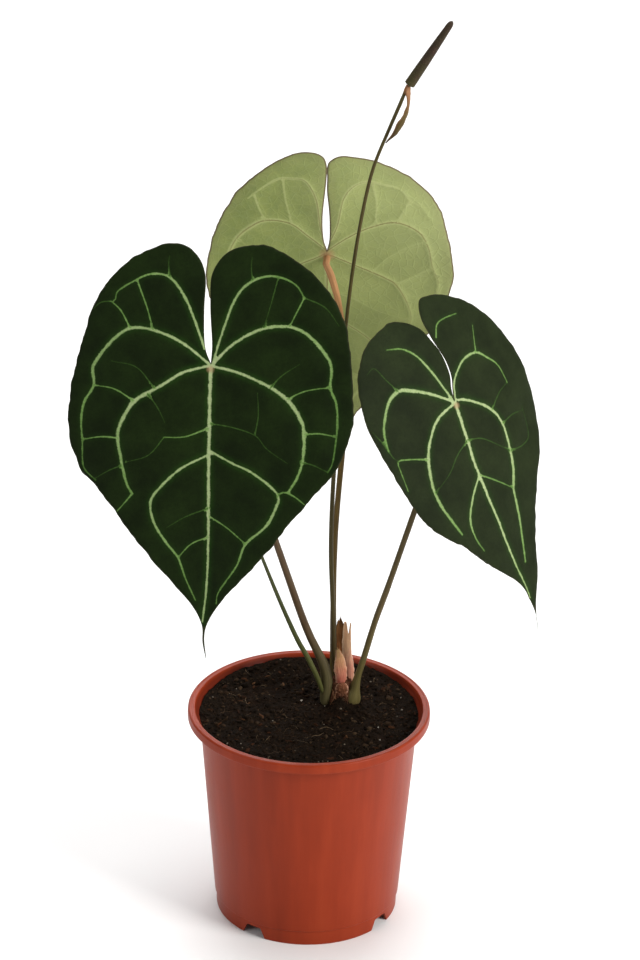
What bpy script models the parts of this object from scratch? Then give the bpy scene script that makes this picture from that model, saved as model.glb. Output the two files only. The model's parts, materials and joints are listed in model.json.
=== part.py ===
"""A velvet-leaved anthurium in a moulded nursery pot: three leaves, two flower stems and the crown.

Metres, +Z up. The pot's axis is the world Z axis, its foot stands on z = 0, and the plant's front faces -Y.
"""
import math
import random
from dataclasses import dataclass, field

import bmesh
import bpy
from mathutils import Matrix, Vector, geometry

# ---- fits -------------------------------------------------------------------------------------
GAP = 0.0003                 # clearance between two pieces that touch
CUT_OVERRUN = 0.002          # how far a cutter runs past the face that it cuts

# ---- pot --------------------------------------------------------------------------------------
POT_HEIGHT = 0.110
RIM_RADIUS = 0.060           # outside of the lip
LIP_OVERHANG = 0.006         # how far the lip stands out from the wall
RIM_WIDTH = 0.005            # flat top of the lip
LIP_HEIGHT = 0.0047
LIP_SKIN = 0.0013            # thickness of the lip's top and of its turned-down skirt
LIP_ROUND = 0.0009
EDGE_EASE = 0.0004           # size of the smallest eased edges
WALL = 0.0012
WALL_TOP_RADIUS = RIM_RADIUS - LIP_OVERHANG
WALL_FOOT_RADIUS = 0.0461    # outside of the wall just above the foot ring
FOOT_STEP = 0.0009           # how far the foot ring stands back from the wall
FOOT_RADIUS = WALL_FOOT_RADIUS - FOOT_STEP
FOOT_TAPER = 0.0002
FOOT_HEIGHT = 0.008
FLOOR_HEIGHT = 0.0065        # underside of the floor above the table
FLOOR_THICKNESS = 0.0016
POT_SEGMENTS = 64

NOTCH_COUNT = 4
NOTCH_FIRST_ANGLE = -125.0   # degrees from +X, turning to +Y
NOTCH_HEIGHT = 0.0056
NOTCH_BOTTOM_WIDTH = 0.0132
NOTCH_TOP_WIDTH = 0.0082
DRAIN_RADIUS = 0.0035
DRAIN_INSET = 0.0092         # from the foot ring's outside in to the middle of a drain hole

# ---- potting mix ------------------------------------------------------------------------------
MIX_BELOW_RIM = 0.0062       # from the rim's top down to the mix at the wall
MIX_CROWN_RISE = 0.0014      # how much higher the mix lies round the plant
MIX_RELIEF = 0.0004          # height of the mix's unevenness
MIX_RINGS = 7
MIX_SEGMENTS = 36
MIX_LEVEL_EDGE = 0.97        # share of the mix's radius inside which its top is uneven
MIX_SEED = 5

# ---- crown ------------------------------------------------------------------------------------
CROWN = (0.0155, 0.0165)     # where the rhizome stands, from the pot's axis
RHIZOME_RADIUS = 0.0075
RHIZOME_TOP_RADIUS = 0.0056
RHIZOME_DEPTH = 0.018        # below the rim's top, down to the rhizome's foot
RHIZOME_RISE = 0.0080        # above the rim's top, up to its head
RHIZOME_SEGMENTS = 20

# ---- leaf blades ------------------------------------------------------------------------------
BLADE_THICKNESS = 0.0011
BLADE_SPACING = 0.0085       # distance between the points of a blade's surface
BLADE_MARGIN = 0.55          # share of that distance that inner points keep from the edge
PETIOLE_SEAT = 0.0040        # from the bottom of the notch between the lobes to the petiole's middle


@dataclass
class Blade:
    """One heart-shaped blade. An outline point is (share of the half width, share of the length)."""
    seat: tuple              # bottom of the notch between the lobes: x, y, height above the pot's rim
    facing: float            # degrees, where the upper side faces: 0 is the front, 90 is +X
    lean: float              # degrees that the upper side is turned up
    roll: float              # degrees that the blade is turned in its own plane
    length: float            # from the seat to the tip
    half_width: float
    fold: float              # rise of both halves from the midrib, per metre
    arch: float              # bend of both halves back down, per square metre
    droop: float             # bend of the tip end, per square metre
    lobe_droop: float        # bend of the lobes, per square metre
    wave: float              # height of the waves along the margin
    wave_length: float
    right: list = field(default_factory=list)
    left: list = field(default_factory=list)

    def axes(self):
        """Across to the right, along to the tip, and the upper side's normal."""
        turn = math.radians(self.facing)
        tilt = math.radians(self.lean)
        spin = math.radians(self.roll)
        across = Vector((math.cos(turn), math.sin(turn), 0))
        ahead = Vector((math.sin(turn), -math.cos(turn), 0))
        along = ahead * math.sin(tilt) - Vector((0, 0, math.cos(tilt)))
        normal = ahead * math.cos(tilt) + Vector((0, 0, math.sin(tilt)))
        return (across * math.cos(spin) + along * math.sin(spin),
                along * math.cos(spin) - across * math.sin(spin), normal)

    def height(self, x, y):
        bend = self.droop if y > 0 else self.lobe_droop
        side = 1 if x > 0 else -1
        ripple = math.sin(math.tau * (y / self.wave_length + 0.3 * side))
        rim = min(abs(x) / self.half_width, 1.2) ** 3
        return self.fold * abs(x) - self.arch * x * x - bend * y * y + self.wave * rim * ripple

    def point(self, x, y, above=0.0):
        across, along, normal = self.axes()
        seat = Vector(self.seat) + Vector((0, 0, POT_HEIGHT))
        return seat + across * x + along * y + normal * (self.height(x, y) + above)

    def outline(self, spacing):
        """The closed edge, from the seat round the right half to the tip and back up the left half."""
        halves = []
        for side, points in ((1, self.right), (-1, self.left)):
            curve = spline([(side * a * self.half_width, b * self.length) for a, b in points], 8)
            halves.append(even_steps(curve, spacing))
        return halves[0] + halves[1][-2:0:-1]


LEAF_LEFT = Blade(
    seat=(-0.0482, -0.0350, 0.2008), facing=-8, lean=20, roll=0, length=0.142, half_width=0.0680,
    fold=0.10, arch=1.8, droop=0.8, lobe_droop=1.5, wave=0.0012, wave_length=0.062,
    right=[(0, 0), (0, -0.07), (-0.03, -0.20), (-0.03, -0.30), (0.08, -0.375), (0.30, -0.40),
           (0.54, -0.36), (0.75, -0.28), (0.91, -0.16), (0.98, 0.0), (1.0, 0.17), (0.93, 0.30),
           (0.79, 0.40), (0.62, 0.505), (0.40, 0.65), (0.18, 0.775), (0.07, 0.86), (0.04, 0.92),
           (0.06, 1.0)],
    left=[(0, 0), (0.05, -0.06), (0.07, -0.18), (0.08, -0.29), (0.16, -0.36), (0.30, -0.388),
          (0.47, -0.365), (0.68, -0.29), (0.83, -0.18), (0.90, -0.06), (0.97, 0.10), (0.97, 0.24),
          (0.89, 0.37), (0.71, 0.46), (0.53, 0.565), (0.25, 0.715), (0.06, 0.81), (-0.02, 0.88),
          (-0.03, 0.94), (-0.06, 1.0)])

LEAF_RIGHT = Blade(
    seat=(0.0672, -0.0040, 0.1695), facing=45, lean=25, roll=-6, length=0.124, half_width=0.0540,
    fold=0.0, arch=2.0, droop=0.9, lobe_droop=2.0, wave=0.0010, wave_length=0.055,
    right=[(0, 0), (0.05, -0.035), (0.11, -0.09), (0.125, -0.15), (0.09, -0.22), (0.04, -0.34),
           (0.10, -0.40), (0.20, -0.407), (0.37, -0.385), (0.55, -0.335), (0.72, -0.27),
           (0.87, -0.174), (0.96, -0.05), (1.0, 0.10), (0.97, 0.22), (0.86, 0.33), (0.70, 0.42),
           (0.55, 0.54), (0.42, 0.66), (0.34, 0.78), (0.24, 0.873), (0.19, 0.945), (0.17, 1.0)],
    left=[(0, 0), (-0.02, -0.05), (-0.06, -0.10), (-0.06, -0.19), (-0.03, -0.24), (0.04, -0.31),
          (0.18, -0.363), (0.34, -0.385), (0.55, -0.36), (0.75, -0.31), (0.90, -0.22), (0.96, -0.11),
          (0.94, 0.02), (0.89, 0.16), (0.80, 0.32), (0.66, 0.427), (0.46, 0.52), (0.22, 0.647),
          (0.06, 0.717), (-0.06, 0.77), (-0.14, 0.83), (-0.19, 0.93), (-0.17, 1.0)])

LEAF_BACK = Blade(
    seat=(0.0054, 0.0520, 0.2228), facing=176, lean=14, roll=0, length=0.112, half_width=0.0600,
    fold=0.08, arch=1.2, droop=1.0, lobe_droop=0.5, wave=0.0010, wave_length=0.060,
    right=[(0, 0), (0.03, -0.06), (0.035, -0.18), (0.02, -0.34), (0.0, -0.45), (0.03, -0.50),
           (0.12, -0.518), (0.27, -0.50), (0.45, -0.44), (0.62, -0.355), (0.75, -0.26), (0.87, -0.125),
           (0.94, 0.0), (0.98, 0.13), (0.97, 0.25), (0.90, 0.37), (0.76, 0.48), (0.56, 0.61),
           (0.34, 0.755), (0.16, 0.87), (0.02, 0.94), (-0.10, 1.0)],
    left=[(0, 0), (0.02, -0.06), (0.02, -0.19), (0.0, -0.30), (0.01, -0.42), (0.03, -0.475),
          (0.12, -0.505), (0.28, -0.495), (0.47, -0.465), (0.62, -0.42), (0.76, -0.35), (0.88, -0.265),
          (0.95, -0.15), (1.0, -0.03), (1.02, 0.07), (1.01, 0.17), (0.96, 0.29), (0.86, 0.40),
          (0.70, 0.52), (0.50, 0.66), (0.32, 0.79), (0.20, 0.88), (0.13, 0.94), (0.10, 1.0)])

# ---- stems: points from the foot up, each (x, y, height above the pot's rim, radius) -----------
PETIOLE_LEFT = [
    (0.0088, 0.0130, -0.0110, 0.0020), (0.0076, 0.0126, -0.0030, 0.0023),
    (0.0082, 0.0130, 0.0023, 0.0030), (0.0089, 0.0135, 0.0077, 0.0036),
    (0.0080, 0.0138, 0.0132, 0.0032), (0.0061, 0.0138, 0.0188, 0.0028),
    (0.0033, 0.0133, 0.0245, 0.0025), (-0.0034, 0.0100, 0.0427, 0.0022),
    (-0.0168, -0.0060, 0.0925, 0.0019), (-0.0330, -0.0205, 0.1500, 0.0017),
    (-0.0430, -0.0290, 0.1830, 0.0018)]
PETIOLE_RIGHT = [
    (0.0200, 0.0145, -0.0100, 0.0034), (0.0211, 0.0140, -0.0032, 0.0043),
    (0.0228, 0.0135, 0.0040, 0.0027), (0.0240, 0.0125, 0.0114, 0.0019),
    (0.0257, 0.0115, 0.0175, 0.0019), (0.0273, 0.0108, 0.0241, 0.0018),
    (0.0321, 0.0090, 0.0441, 0.0018), (0.0379, 0.0068, 0.0640, 0.0018),
    (0.0492, 0.0040, 0.1045, 0.0017), (0.0590, 0.0020, 0.1380, 0.0017),
    (0.0640, 0.0005, 0.1550, 0.0018)]
PETIOLE_BACK = [
    (0.0140, 0.0240, -0.0100, 0.0028), (0.0128, 0.0250, -0.0030, 0.0030),
    (0.0118, 0.0254, 0.0145, 0.0021), (0.0113, 0.0265, 0.0400, 0.0018),
    (0.0115, 0.0285, 0.0800, 0.0018), (0.0145, 0.0330, 0.1250, 0.0017),
    (0.0171, 0.0390, 0.1580, 0.0017), (0.0143, 0.0425, 0.1805, 0.0018),
    (0.0110, 0.0450, 0.1997, 0.0019), (0.0089, 0.0457, 0.2080, 0.0020)]
FLOWER_STALK = [
    (0.0144, 0.0197, 0.0020, 0.0015), (0.0124, 0.0200, 0.0125, 0.0014),
    (0.0109, 0.0195, 0.0490, 0.0013), (0.0095, 0.0195, 0.0795, 0.0012),
    (0.0104, 0.0200, 0.1203, 0.0012), (0.0128, 0.0195, 0.1650, 0.0011),
    (0.0152, 0.0190, 0.2010, 0.0010), (0.0193, 0.0175, 0.2400, 0.0010),
    (0.0254, 0.0165, 0.2763, 0.0009), (0.0317, 0.0168, 0.2946, 0.0009),
    (0.0405, 0.0178, 0.3170, 0.0010), (0.0424, 0.0180, 0.3212, 0.0011)]
YOUNG_STALK = [
    (0.0070, 0.0112, 0.0020, 0.0012), (0.0058, 0.0104, 0.0050, 0.0013),
    (0.0037, 0.0088, 0.0123, 0.0014), (-0.0014, 0.0070, 0.0245, 0.0014),
    (-0.0061, 0.0040, 0.0349, 0.0013), (-0.0152, -0.0030, 0.0606, 0.0011),
    (-0.0250, -0.0090, 0.0900, 0.0009), (-0.0360, -0.0125, 0.1220, 0.0008),
    (-0.0425, -0.0140, 0.1450, 0.0008)]
STEM_SIDES = 8
STEM_STEPS = 3               # steps between two points of a stem
GENICULUM_RADIUS = 0.0021    # the swollen joint at the top of a petiole
GENICULUM_LENGTH = 0.0040    # from its middle to the blade's underside
GENICULUM_STRAIGHT = 0.0012  # the part of it that runs square into the blade

# ---- flowers ----------------------------------------------------------------------------------
SPADIX_LENGTH = 0.0368
SPADIX_RADIUS = 0.00215
SPADIX_TIP_RADIUS = 0.0008
SPADIX_DIRECTION = (0.522, 0.0, 0.853)
YOUNG_SPADIX_LENGTH = 0.0200
YOUNG_SPADIX_RADIUS = 0.0013
YOUNG_SPADIX_TIP_RADIUS = 0.0006
YOUNG_SPADIX_DIRECTION = (-0.20, -0.05, 0.98)

# ---- bracts: strips from the foot to the tip, each (x, y, height above the rim, half width) ------
BRACT_THICKNESS = 0.0008
BRACT_HOLLOW = 0.35          # how far a bract's edges curl in, as a share of its half width
SPATHE = [
    (0.0429, 0.0166, 0.3189, 0.0010), (0.0432, 0.0161, 0.3160, 0.0016),
    (0.0430, 0.0154, 0.3117, 0.0018), (0.0419, 0.0146, 0.3072, 0.0018),
    (0.0400, 0.0139, 0.3031, 0.0018), (0.0371, 0.0133, 0.2990, 0.0014),
    (0.0317, 0.0126, 0.2940, 0.0004)]
YOUNG_SPATHE = [
    (-0.0452, -0.0140, 0.1465, 0.0011), (-0.0467, -0.0140, 0.1500, 0.0016),
    (-0.0481, -0.0138, 0.1565, 0.0016), (-0.0488, -0.0130, 0.1640, 0.0004)]
CATAPHYLL_BROWN = [
    (0.0166, 0.0222, 0.0030, 0.0022), (0.0167, 0.0244, 0.0100, 0.0024),
    (0.0163, 0.0264, 0.0190, 0.0023), (0.0155, 0.0266, 0.0290, 0.0016),
    (0.0147, 0.0262, 0.0375, 0.0004)]
CATAPHYLL_TAN = [
    (0.0203, 0.0172, 0.0030, 0.0020), (0.0207, 0.0168, 0.0105, 0.0025),
    (0.0197, 0.0172, 0.0190, 0.0021), (0.0191, 0.0178, 0.0300, 0.0017),
    (0.0190, 0.0180, 0.0385, 0.0013)]
CATAPHYLL_PINK = [
    (0.0164, 0.0116, 0.0060, 0.0007), (0.0164, 0.0102, 0.0115, 0.0015),
    (0.0160, 0.0094, 0.0165, 0.0025), (0.0151, 0.0098, 0.0220, 0.0018),
    (0.0134, 0.0110, 0.0272, 0.0004)]
CATAPHYLL_BASE = [
    (0.0163, 0.0093, 0.0010, 0.0028), (0.0163, 0.0086, 0.0040, 0.0032),
    (0.0162, 0.0087, 0.0068, 0.0026), (0.0160, 0.0092, 0.0090, 0.0008)]
BRACT_STEPS = 3
BRACT_COLUMNS = 4


# ---- curves -----------------------------------------------------------------------------------
def spline(points, steps):
    """Smooth curve through the points, of any dimension, with this many steps in each span."""
    controls = [Vector(p) for p in points]
    first = controls[0] * 2 - controls[1]
    last = controls[-1] * 2 - controls[-2]
    controls = [first] + controls + [last]
    curve = []
    for i in range(1, len(controls) - 2):
        p0, p1, p2, p3 = controls[i - 1:i + 3]
        for k in range(steps):
            t = k / steps
            curve.append(0.5 * (2 * p1 + (p2 - p0) * t + (2 * p0 - 5 * p1 + 4 * p2 - p3) * t * t
                                + (3 * p1 - p0 - 3 * p2 + p3) * t ** 3))
    curve.append(controls[-2])
    return curve


def lifted(points):
    """The points with their heights counted from the ground instead of from the pot's rim."""
    return [(x, y, POT_HEIGHT + z, size) for x, y, z, size in points]


def even_steps(curve, spacing):
    """The same curve with its points at even distances, about this far apart."""
    lengths = [0.0]
    for a, b in zip(curve, curve[1:]):
        lengths.append(lengths[-1] + (b - a).length)
    count = max(2, round(lengths[-1] / spacing))
    points = []
    j = 0
    for i in range(count + 1):
        target = lengths[-1] * i / count
        while j < len(curve) - 2 and lengths[j + 1] < target:
            j += 1
        share = (target - lengths[j]) / (lengths[j + 1] - lengths[j])
        points.append(curve[j].lerp(curve[j + 1], min(share, 1.0)))
    return points


# ---- making objects -----------------------------------------------------------------------------
def material(name, color, roughness):
    made = bpy.data.materials.new(name)
    made.use_nodes = True
    shader = made.node_tree.nodes["Principled BSDF"]
    shader.inputs["Base Color"].default_value = (*color, 1)
    shader.inputs["Roughness"].default_value = roughness
    made.diffuse_color = (*color, 1)
    return made


def add(name, bm, finish=None):
    """A new object from this mesh, with its faces turned outward."""
    bmesh.ops.remove_doubles(bm, verts=bm.verts, dist=1e-7)
    bmesh.ops.triangulate(bm, faces=bm.faces)
    bmesh.ops.recalc_face_normals(bm, faces=bm.faces)
    mesh = bpy.data.meshes.new(name)
    bm.to_mesh(mesh)
    bm.free()
    mesh.shade_smooth()
    mesh.set_sharp_from_angle(angle=math.radians(40))
    if finish:
        mesh.materials.append(finish)
    made = bpy.data.objects.new(name, mesh)
    bpy.context.collection.objects.link(made)
    return made


def as_cutter(made):
    made.hide_render = True
    made.display_type = "WIRE"
    return made


def cut(target, *cutters):
    for cutter in cutters:
        modifier = target.modifiers.new(cutter.name, "BOOLEAN")
        modifier.operation = "DIFFERENCE"
        modifier.solver = "EXACT"
        modifier.object = cutter


def turned(profile, segments, center=(0, 0), relief=None):
    """Closed mesh from a closed profile of (radius, z) turned round the vertical through center."""
    bm = bmesh.new()
    rings = []
    for radius, z in profile:
        if radius == 0:
            rings.append([bm.verts.new((center[0], center[1], z))])
            continue
        ring = []
        for k in range(segments):
            angle = math.tau * k / segments
            lift = relief(radius, angle, z) if relief else 0
            ring.append(bm.verts.new((center[0] + radius * math.cos(angle),
                                      center[1] + radius * math.sin(angle), z + lift)))
        rings.append(ring)
    closed = profile[0][0] != 0
    pairs = list(zip(rings, rings[1:]))
    if closed:
        pairs.append((rings[-1], rings[0]))
    for low, high in pairs:
        for k in range(segments):
            n = (k + 1) % segments
            corners = [low[k % len(low)], low[n % len(low)], high[n % len(high)], high[k % len(high)]]
            corners = list(dict.fromkeys(corners))
            if len(corners) > 2:
                bm.faces.new(corners)
    return bm


def tube(points, grow=0.0, reach=0.0, steps=STEM_STEPS):
    """Round stem along points of (x, y, z, radius), its radius grown and its ends run on by reach."""
    curve = spline(points, steps)
    path = [p.to_3d() for p in curve]
    radii = [p[3] + grow for p in curve]
    path[0] += (path[0] - path[1]).normalized() * reach
    path[-1] += (path[-1] - path[-2]).normalized() * reach
    bm = bmesh.new()
    rings = []
    side = Vector((1, 0, 0))
    for i, center in enumerate(path):
        forward = (path[min(i + 1, len(path) - 1)] - path[max(i - 1, 0)]).normalized()
        side = (side - forward * side.dot(forward)).normalized()
        other = forward.cross(side)
        rings.append([bm.verts.new(center + (side * math.cos(a) + other * math.sin(a)) * radii[i])
                      for a in (math.tau * k / STEM_SIDES for k in range(STEM_SIDES))])
    for low, high in zip(rings, rings[1:]):
        for k in range(STEM_SIDES):
            n = (k + 1) % STEM_SIDES
            bm.faces.new((low[k], low[n], high[n], high[k]))
    bm.faces.new(rings[0][::-1])
    bm.faces.new(rings[-1])
    return bm


def bract(points, outward, grow=0.0, reach=0.0):
    """Thin hollow strip along points of (x, y, height, half width), its back turned outward."""
    curve = spline(lifted(points), BRACT_STEPS)
    path = [p.to_3d() for p in curve]
    path[0] += (path[0] - path[1]).normalized() * reach
    bm = bmesh.new()
    layers = {1: [], -1: []}
    for i, center in enumerate(path):
        forward = (path[min(i + 1, len(path) - 1)] - path[max(i - 1, 0)]).normalized()
        back = Vector(outward)
        back = (back - forward * back.dot(forward)).normalized()
        across = back.cross(forward)
        half = curve[i][3] + grow
        for layer, rows in layers.items():
            row = []
            for k in range(BRACT_COLUMNS + 1):
                v = 2 * k / BRACT_COLUMNS - 1
                curl = -BRACT_HOLLOW * half * v * v
                shift = curl + layer * (BRACT_THICKNESS / 2 + grow)
                row.append(bm.verts.new(center + across * half * v + back * shift))
            rows.append(row)
    for rows in layers.values():
        for low, high in zip(rows, rows[1:]):
            for k in range(BRACT_COLUMNS):
                bm.faces.new((low[k], low[k + 1], high[k + 1], high[k]))
    front, rear = layers[1], layers[-1]
    for k in range(BRACT_COLUMNS):
        bm.faces.new((front[0][k], front[0][k + 1], rear[0][k + 1], rear[0][k]))
        bm.faces.new((front[-1][k], front[-1][k + 1], rear[-1][k + 1], rear[-1][k]))
    for i in range(len(path) - 1):
        for k in (0, BRACT_COLUMNS):
            bm.faces.new((front[i][k], front[i + 1][k], rear[i + 1][k], rear[i][k]))
    return bm


# ---- pieces -------------------------------------------------------------------------------------
def wall_radius(z):
    """Outside radius of the pot's wall at this height."""
    low = FOOT_HEIGHT
    high = POT_HEIGHT - LIP_HEIGHT
    return WALL_FOOT_RADIUS + (WALL_TOP_RADIUS - WALL_FOOT_RADIUS) * (z - low) / (high - low)


def inner_radius(z):
    return wall_radius(z) - WALL


def make_pot(finish):
    lip_bottom = POT_HEIGHT - LIP_HEIGHT
    floor_top = FLOOR_HEIGHT + FLOOR_THICKNESS
    profile = [
        (0, FLOOR_HEIGHT),
        (FOOT_RADIUS - WALL, FLOOR_HEIGHT),
        (FOOT_RADIUS - WALL, 0),
        (FOOT_RADIUS, 0),
        (FOOT_RADIUS + FOOT_TAPER, FOOT_HEIGHT - EDGE_EASE),
        (WALL_FOOT_RADIUS, FOOT_HEIGHT),
        (wall_radius(POT_HEIGHT / 2), POT_HEIGHT / 2),
        (WALL_TOP_RADIUS, lip_bottom),
        (WALL_TOP_RADIUS + LIP_SKIN / 2, POT_HEIGHT - LIP_SKIN),
        (RIM_RADIUS - LIP_SKIN, POT_HEIGHT - LIP_SKIN),
        (RIM_RADIUS - LIP_SKIN, lip_bottom),
        (RIM_RADIUS, lip_bottom),
        (RIM_RADIUS, POT_HEIGHT - LIP_ROUND),
        (RIM_RADIUS - 0.3 * LIP_ROUND, POT_HEIGHT - 0.3 * LIP_ROUND),
        (RIM_RADIUS - LIP_ROUND, POT_HEIGHT),
        (RIM_RADIUS - RIM_WIDTH, POT_HEIGHT),
        (RIM_RADIUS - RIM_WIDTH - EDGE_EASE, POT_HEIGHT - EDGE_EASE),
        (inner_radius(lip_bottom), lip_bottom),
        (inner_radius(floor_top), floor_top),
        (0, floor_top)]
    pot = add("pot", turned(profile, POT_SEGMENTS), finish)
    for k in range(NOTCH_COUNT):
        angle = math.radians(NOTCH_FIRST_ANGLE + 360 * k / NOTCH_COUNT)
        turn = Matrix.Rotation(angle, 4, "Z")
        bm = bmesh.new()
        ends = []
        for radius in (FOOT_RADIUS - WALL - CUT_OVERRUN, FOOT_RADIUS + CUT_OVERRUN):
            corners = ((-NOTCH_BOTTOM_WIDTH / 2, -CUT_OVERRUN), (NOTCH_BOTTOM_WIDTH / 2, -CUT_OVERRUN),
                       (NOTCH_BOTTOM_WIDTH / 2, 0), (NOTCH_TOP_WIDTH / 2, NOTCH_HEIGHT),
                       (-NOTCH_TOP_WIDTH / 2, NOTCH_HEIGHT), (-NOTCH_BOTTOM_WIDTH / 2, 0))
            ends.append([bm.verts.new(turn @ Vector((radius, y, z))) for y, z in corners])
        for i in range(6):
            n = (i + 1) % 6
            bm.faces.new((ends[0][i], ends[0][n], ends[1][n], ends[1][i]))
        bm.faces.new(ends[0])
        bm.faces.new(ends[1])
        notch = as_cutter(add(f"notch_cutter_{k}", bm))
        drain_center = turn @ Vector((FOOT_RADIUS - DRAIN_INSET, 0, 0))
        drain_profile = [(0, FLOOR_HEIGHT - CUT_OVERRUN), (DRAIN_RADIUS, FLOOR_HEIGHT - CUT_OVERRUN),
                         (DRAIN_RADIUS, floor_top + CUT_OVERRUN), (0, floor_top + CUT_OVERRUN)]
        drain = as_cutter(add(f"drain_cutter_{k}", turned(drain_profile, 16, drain_center[:2])))
        cut(pot, notch, drain)


def make_mix(finish):
    rng = random.Random(MIX_SEED)
    bumps = [(rng.uniform(1, 6), rng.uniform(0, math.tau), rng.uniform(60, 220)) for _ in range(6)]
    top = POT_HEIGHT - MIX_BELOW_RIM
    bottom = FLOOR_HEIGHT + FLOOR_THICKNESS + GAP
    edge = inner_radius(top) - GAP

    def relief(radius, angle, z):
        if z < top - 1e-6 or radius > edge * MIX_LEVEL_EDGE:
            return 0
        waves = sum(math.sin(round(turns) * angle + start + pitch * radius) for turns, start, pitch in bumps)
        return MIX_RELIEF * waves / 3

    profile = [(0, bottom), (inner_radius(bottom) - GAP, bottom), (edge, top)]
    for k in range(MIX_RINGS - 1, -1, -1):
        share = k / MIX_RINGS
        profile.append((edge * share, top + MIX_CROWN_RISE * (1 - share * share)))
    return add("potting_mix", turned(profile, MIX_SEGMENTS, relief=relief), finish)


def rhizome_mesh(grow=0.0):
    foot = POT_HEIGHT - RHIZOME_DEPTH
    head = POT_HEIGHT + RHIZOME_RISE
    rise = head - foot
    profile = [(0, foot - grow), (RHIZOME_RADIUS * 0.75 + grow, foot - grow)]
    for share, size in ((0.15, 1.0), (0.40, 0.98), (0.45, 1.02), (0.62, 0.95), (0.67, 0.99), (0.85, 0.82)):
        profile.append((RHIZOME_RADIUS * size + grow, foot + rise * share))
    profile += [(RHIZOME_TOP_RADIUS + grow, head + grow), (0, head + grow)]
    return turned(profile, RHIZOME_SEGMENTS, CROWN)


def petiole_points(points, blade):
    """The stem's points, run on through its swollen joint to the blade's underside."""
    normal = blade.axes()[2]
    end = blade.point(0, PETIOLE_SEAT, -BLADE_THICKNESS / 2 - GAP)
    start = end - normal * GENICULUM_LENGTH
    straight = end - normal * GENICULUM_STRAIGHT
    neck = GENICULUM_RADIUS * 0.85
    return lifted(points) + [(*start, GENICULUM_RADIUS), (*straight, neck), (*end, neck)]


def make_blade(name, blade, finish):
    """Closed thin blade: an even net of triangles inside the outline, doubled and joined at the edge."""
    edge = blade.outline(BLADE_SPACING)
    inside = []
    rows = int(2 * blade.length / BLADE_SPACING)
    columns = int(1.2 * blade.half_width / BLADE_SPACING)
    for j in range(-rows, rows + 1):
        y = j * BLADE_SPACING * math.sqrt(0.75)
        for i in range(-columns, columns + 1):
            x = (i + 0.5 * (j % 2)) * BLADE_SPACING
            spot = Vector((x, y))
            if min((spot - e).length for e in edge) > BLADE_MARGIN * BLADE_SPACING:
                inside.append(spot)
    loop = list(range(len(edge)))
    net = geometry.delaunay_2d_cdt(edge + inside, [], [loop], 1, 1e-9)
    spots, faces = net[0], net[2]
    bm = bmesh.new()
    layers = []
    for above in (BLADE_THICKNESS / 2, -BLADE_THICKNESS / 2):
        layers.append([bm.verts.new(blade.point(s.x, s.y, above)) for s in spots])
    upper, under = layers
    uses = {}
    for face in faces:
        bm.faces.new([upper[i] for i in face])
        bm.faces.new([under[i] for i in reversed(face)])
        for a, b in zip(face, face[1:] + face[:1]):
            key = (min(a, b), max(a, b))
            uses[key] = uses.get(key, 0) + 1
    for (a, b), count in uses.items():
        if count == 1:
            bm.faces.new((upper[a], upper[b], under[b], under[a]))
    for loose in [v for v in bm.verts if not v.link_faces]:
        bm.verts.remove(loose)
    return add(name, bm, finish)


def spadix_points(stalk, direction, length, radius, tip_radius):
    """Points of the tapered flower spike that stands on a stalk's end."""
    aim = Vector(direction).normalized()
    end = [p.to_3d() for p in spline(lifted(stalk), STEM_STEPS)[-2:]]
    bend = aim.cross((end[1] - end[0]).normalized()).length
    foot = end[1] + aim * (GAP + bend * radius)
    shape = ((0, 0.93), (0.04, 1.0), (0.3, 0.95), (0.65, 0.72), (0.9, 0.42))
    points = [(*(foot + aim * length * share), radius * size) for share, size in shape]
    return points + [(*(foot + aim * length), tip_radius)]


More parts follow.
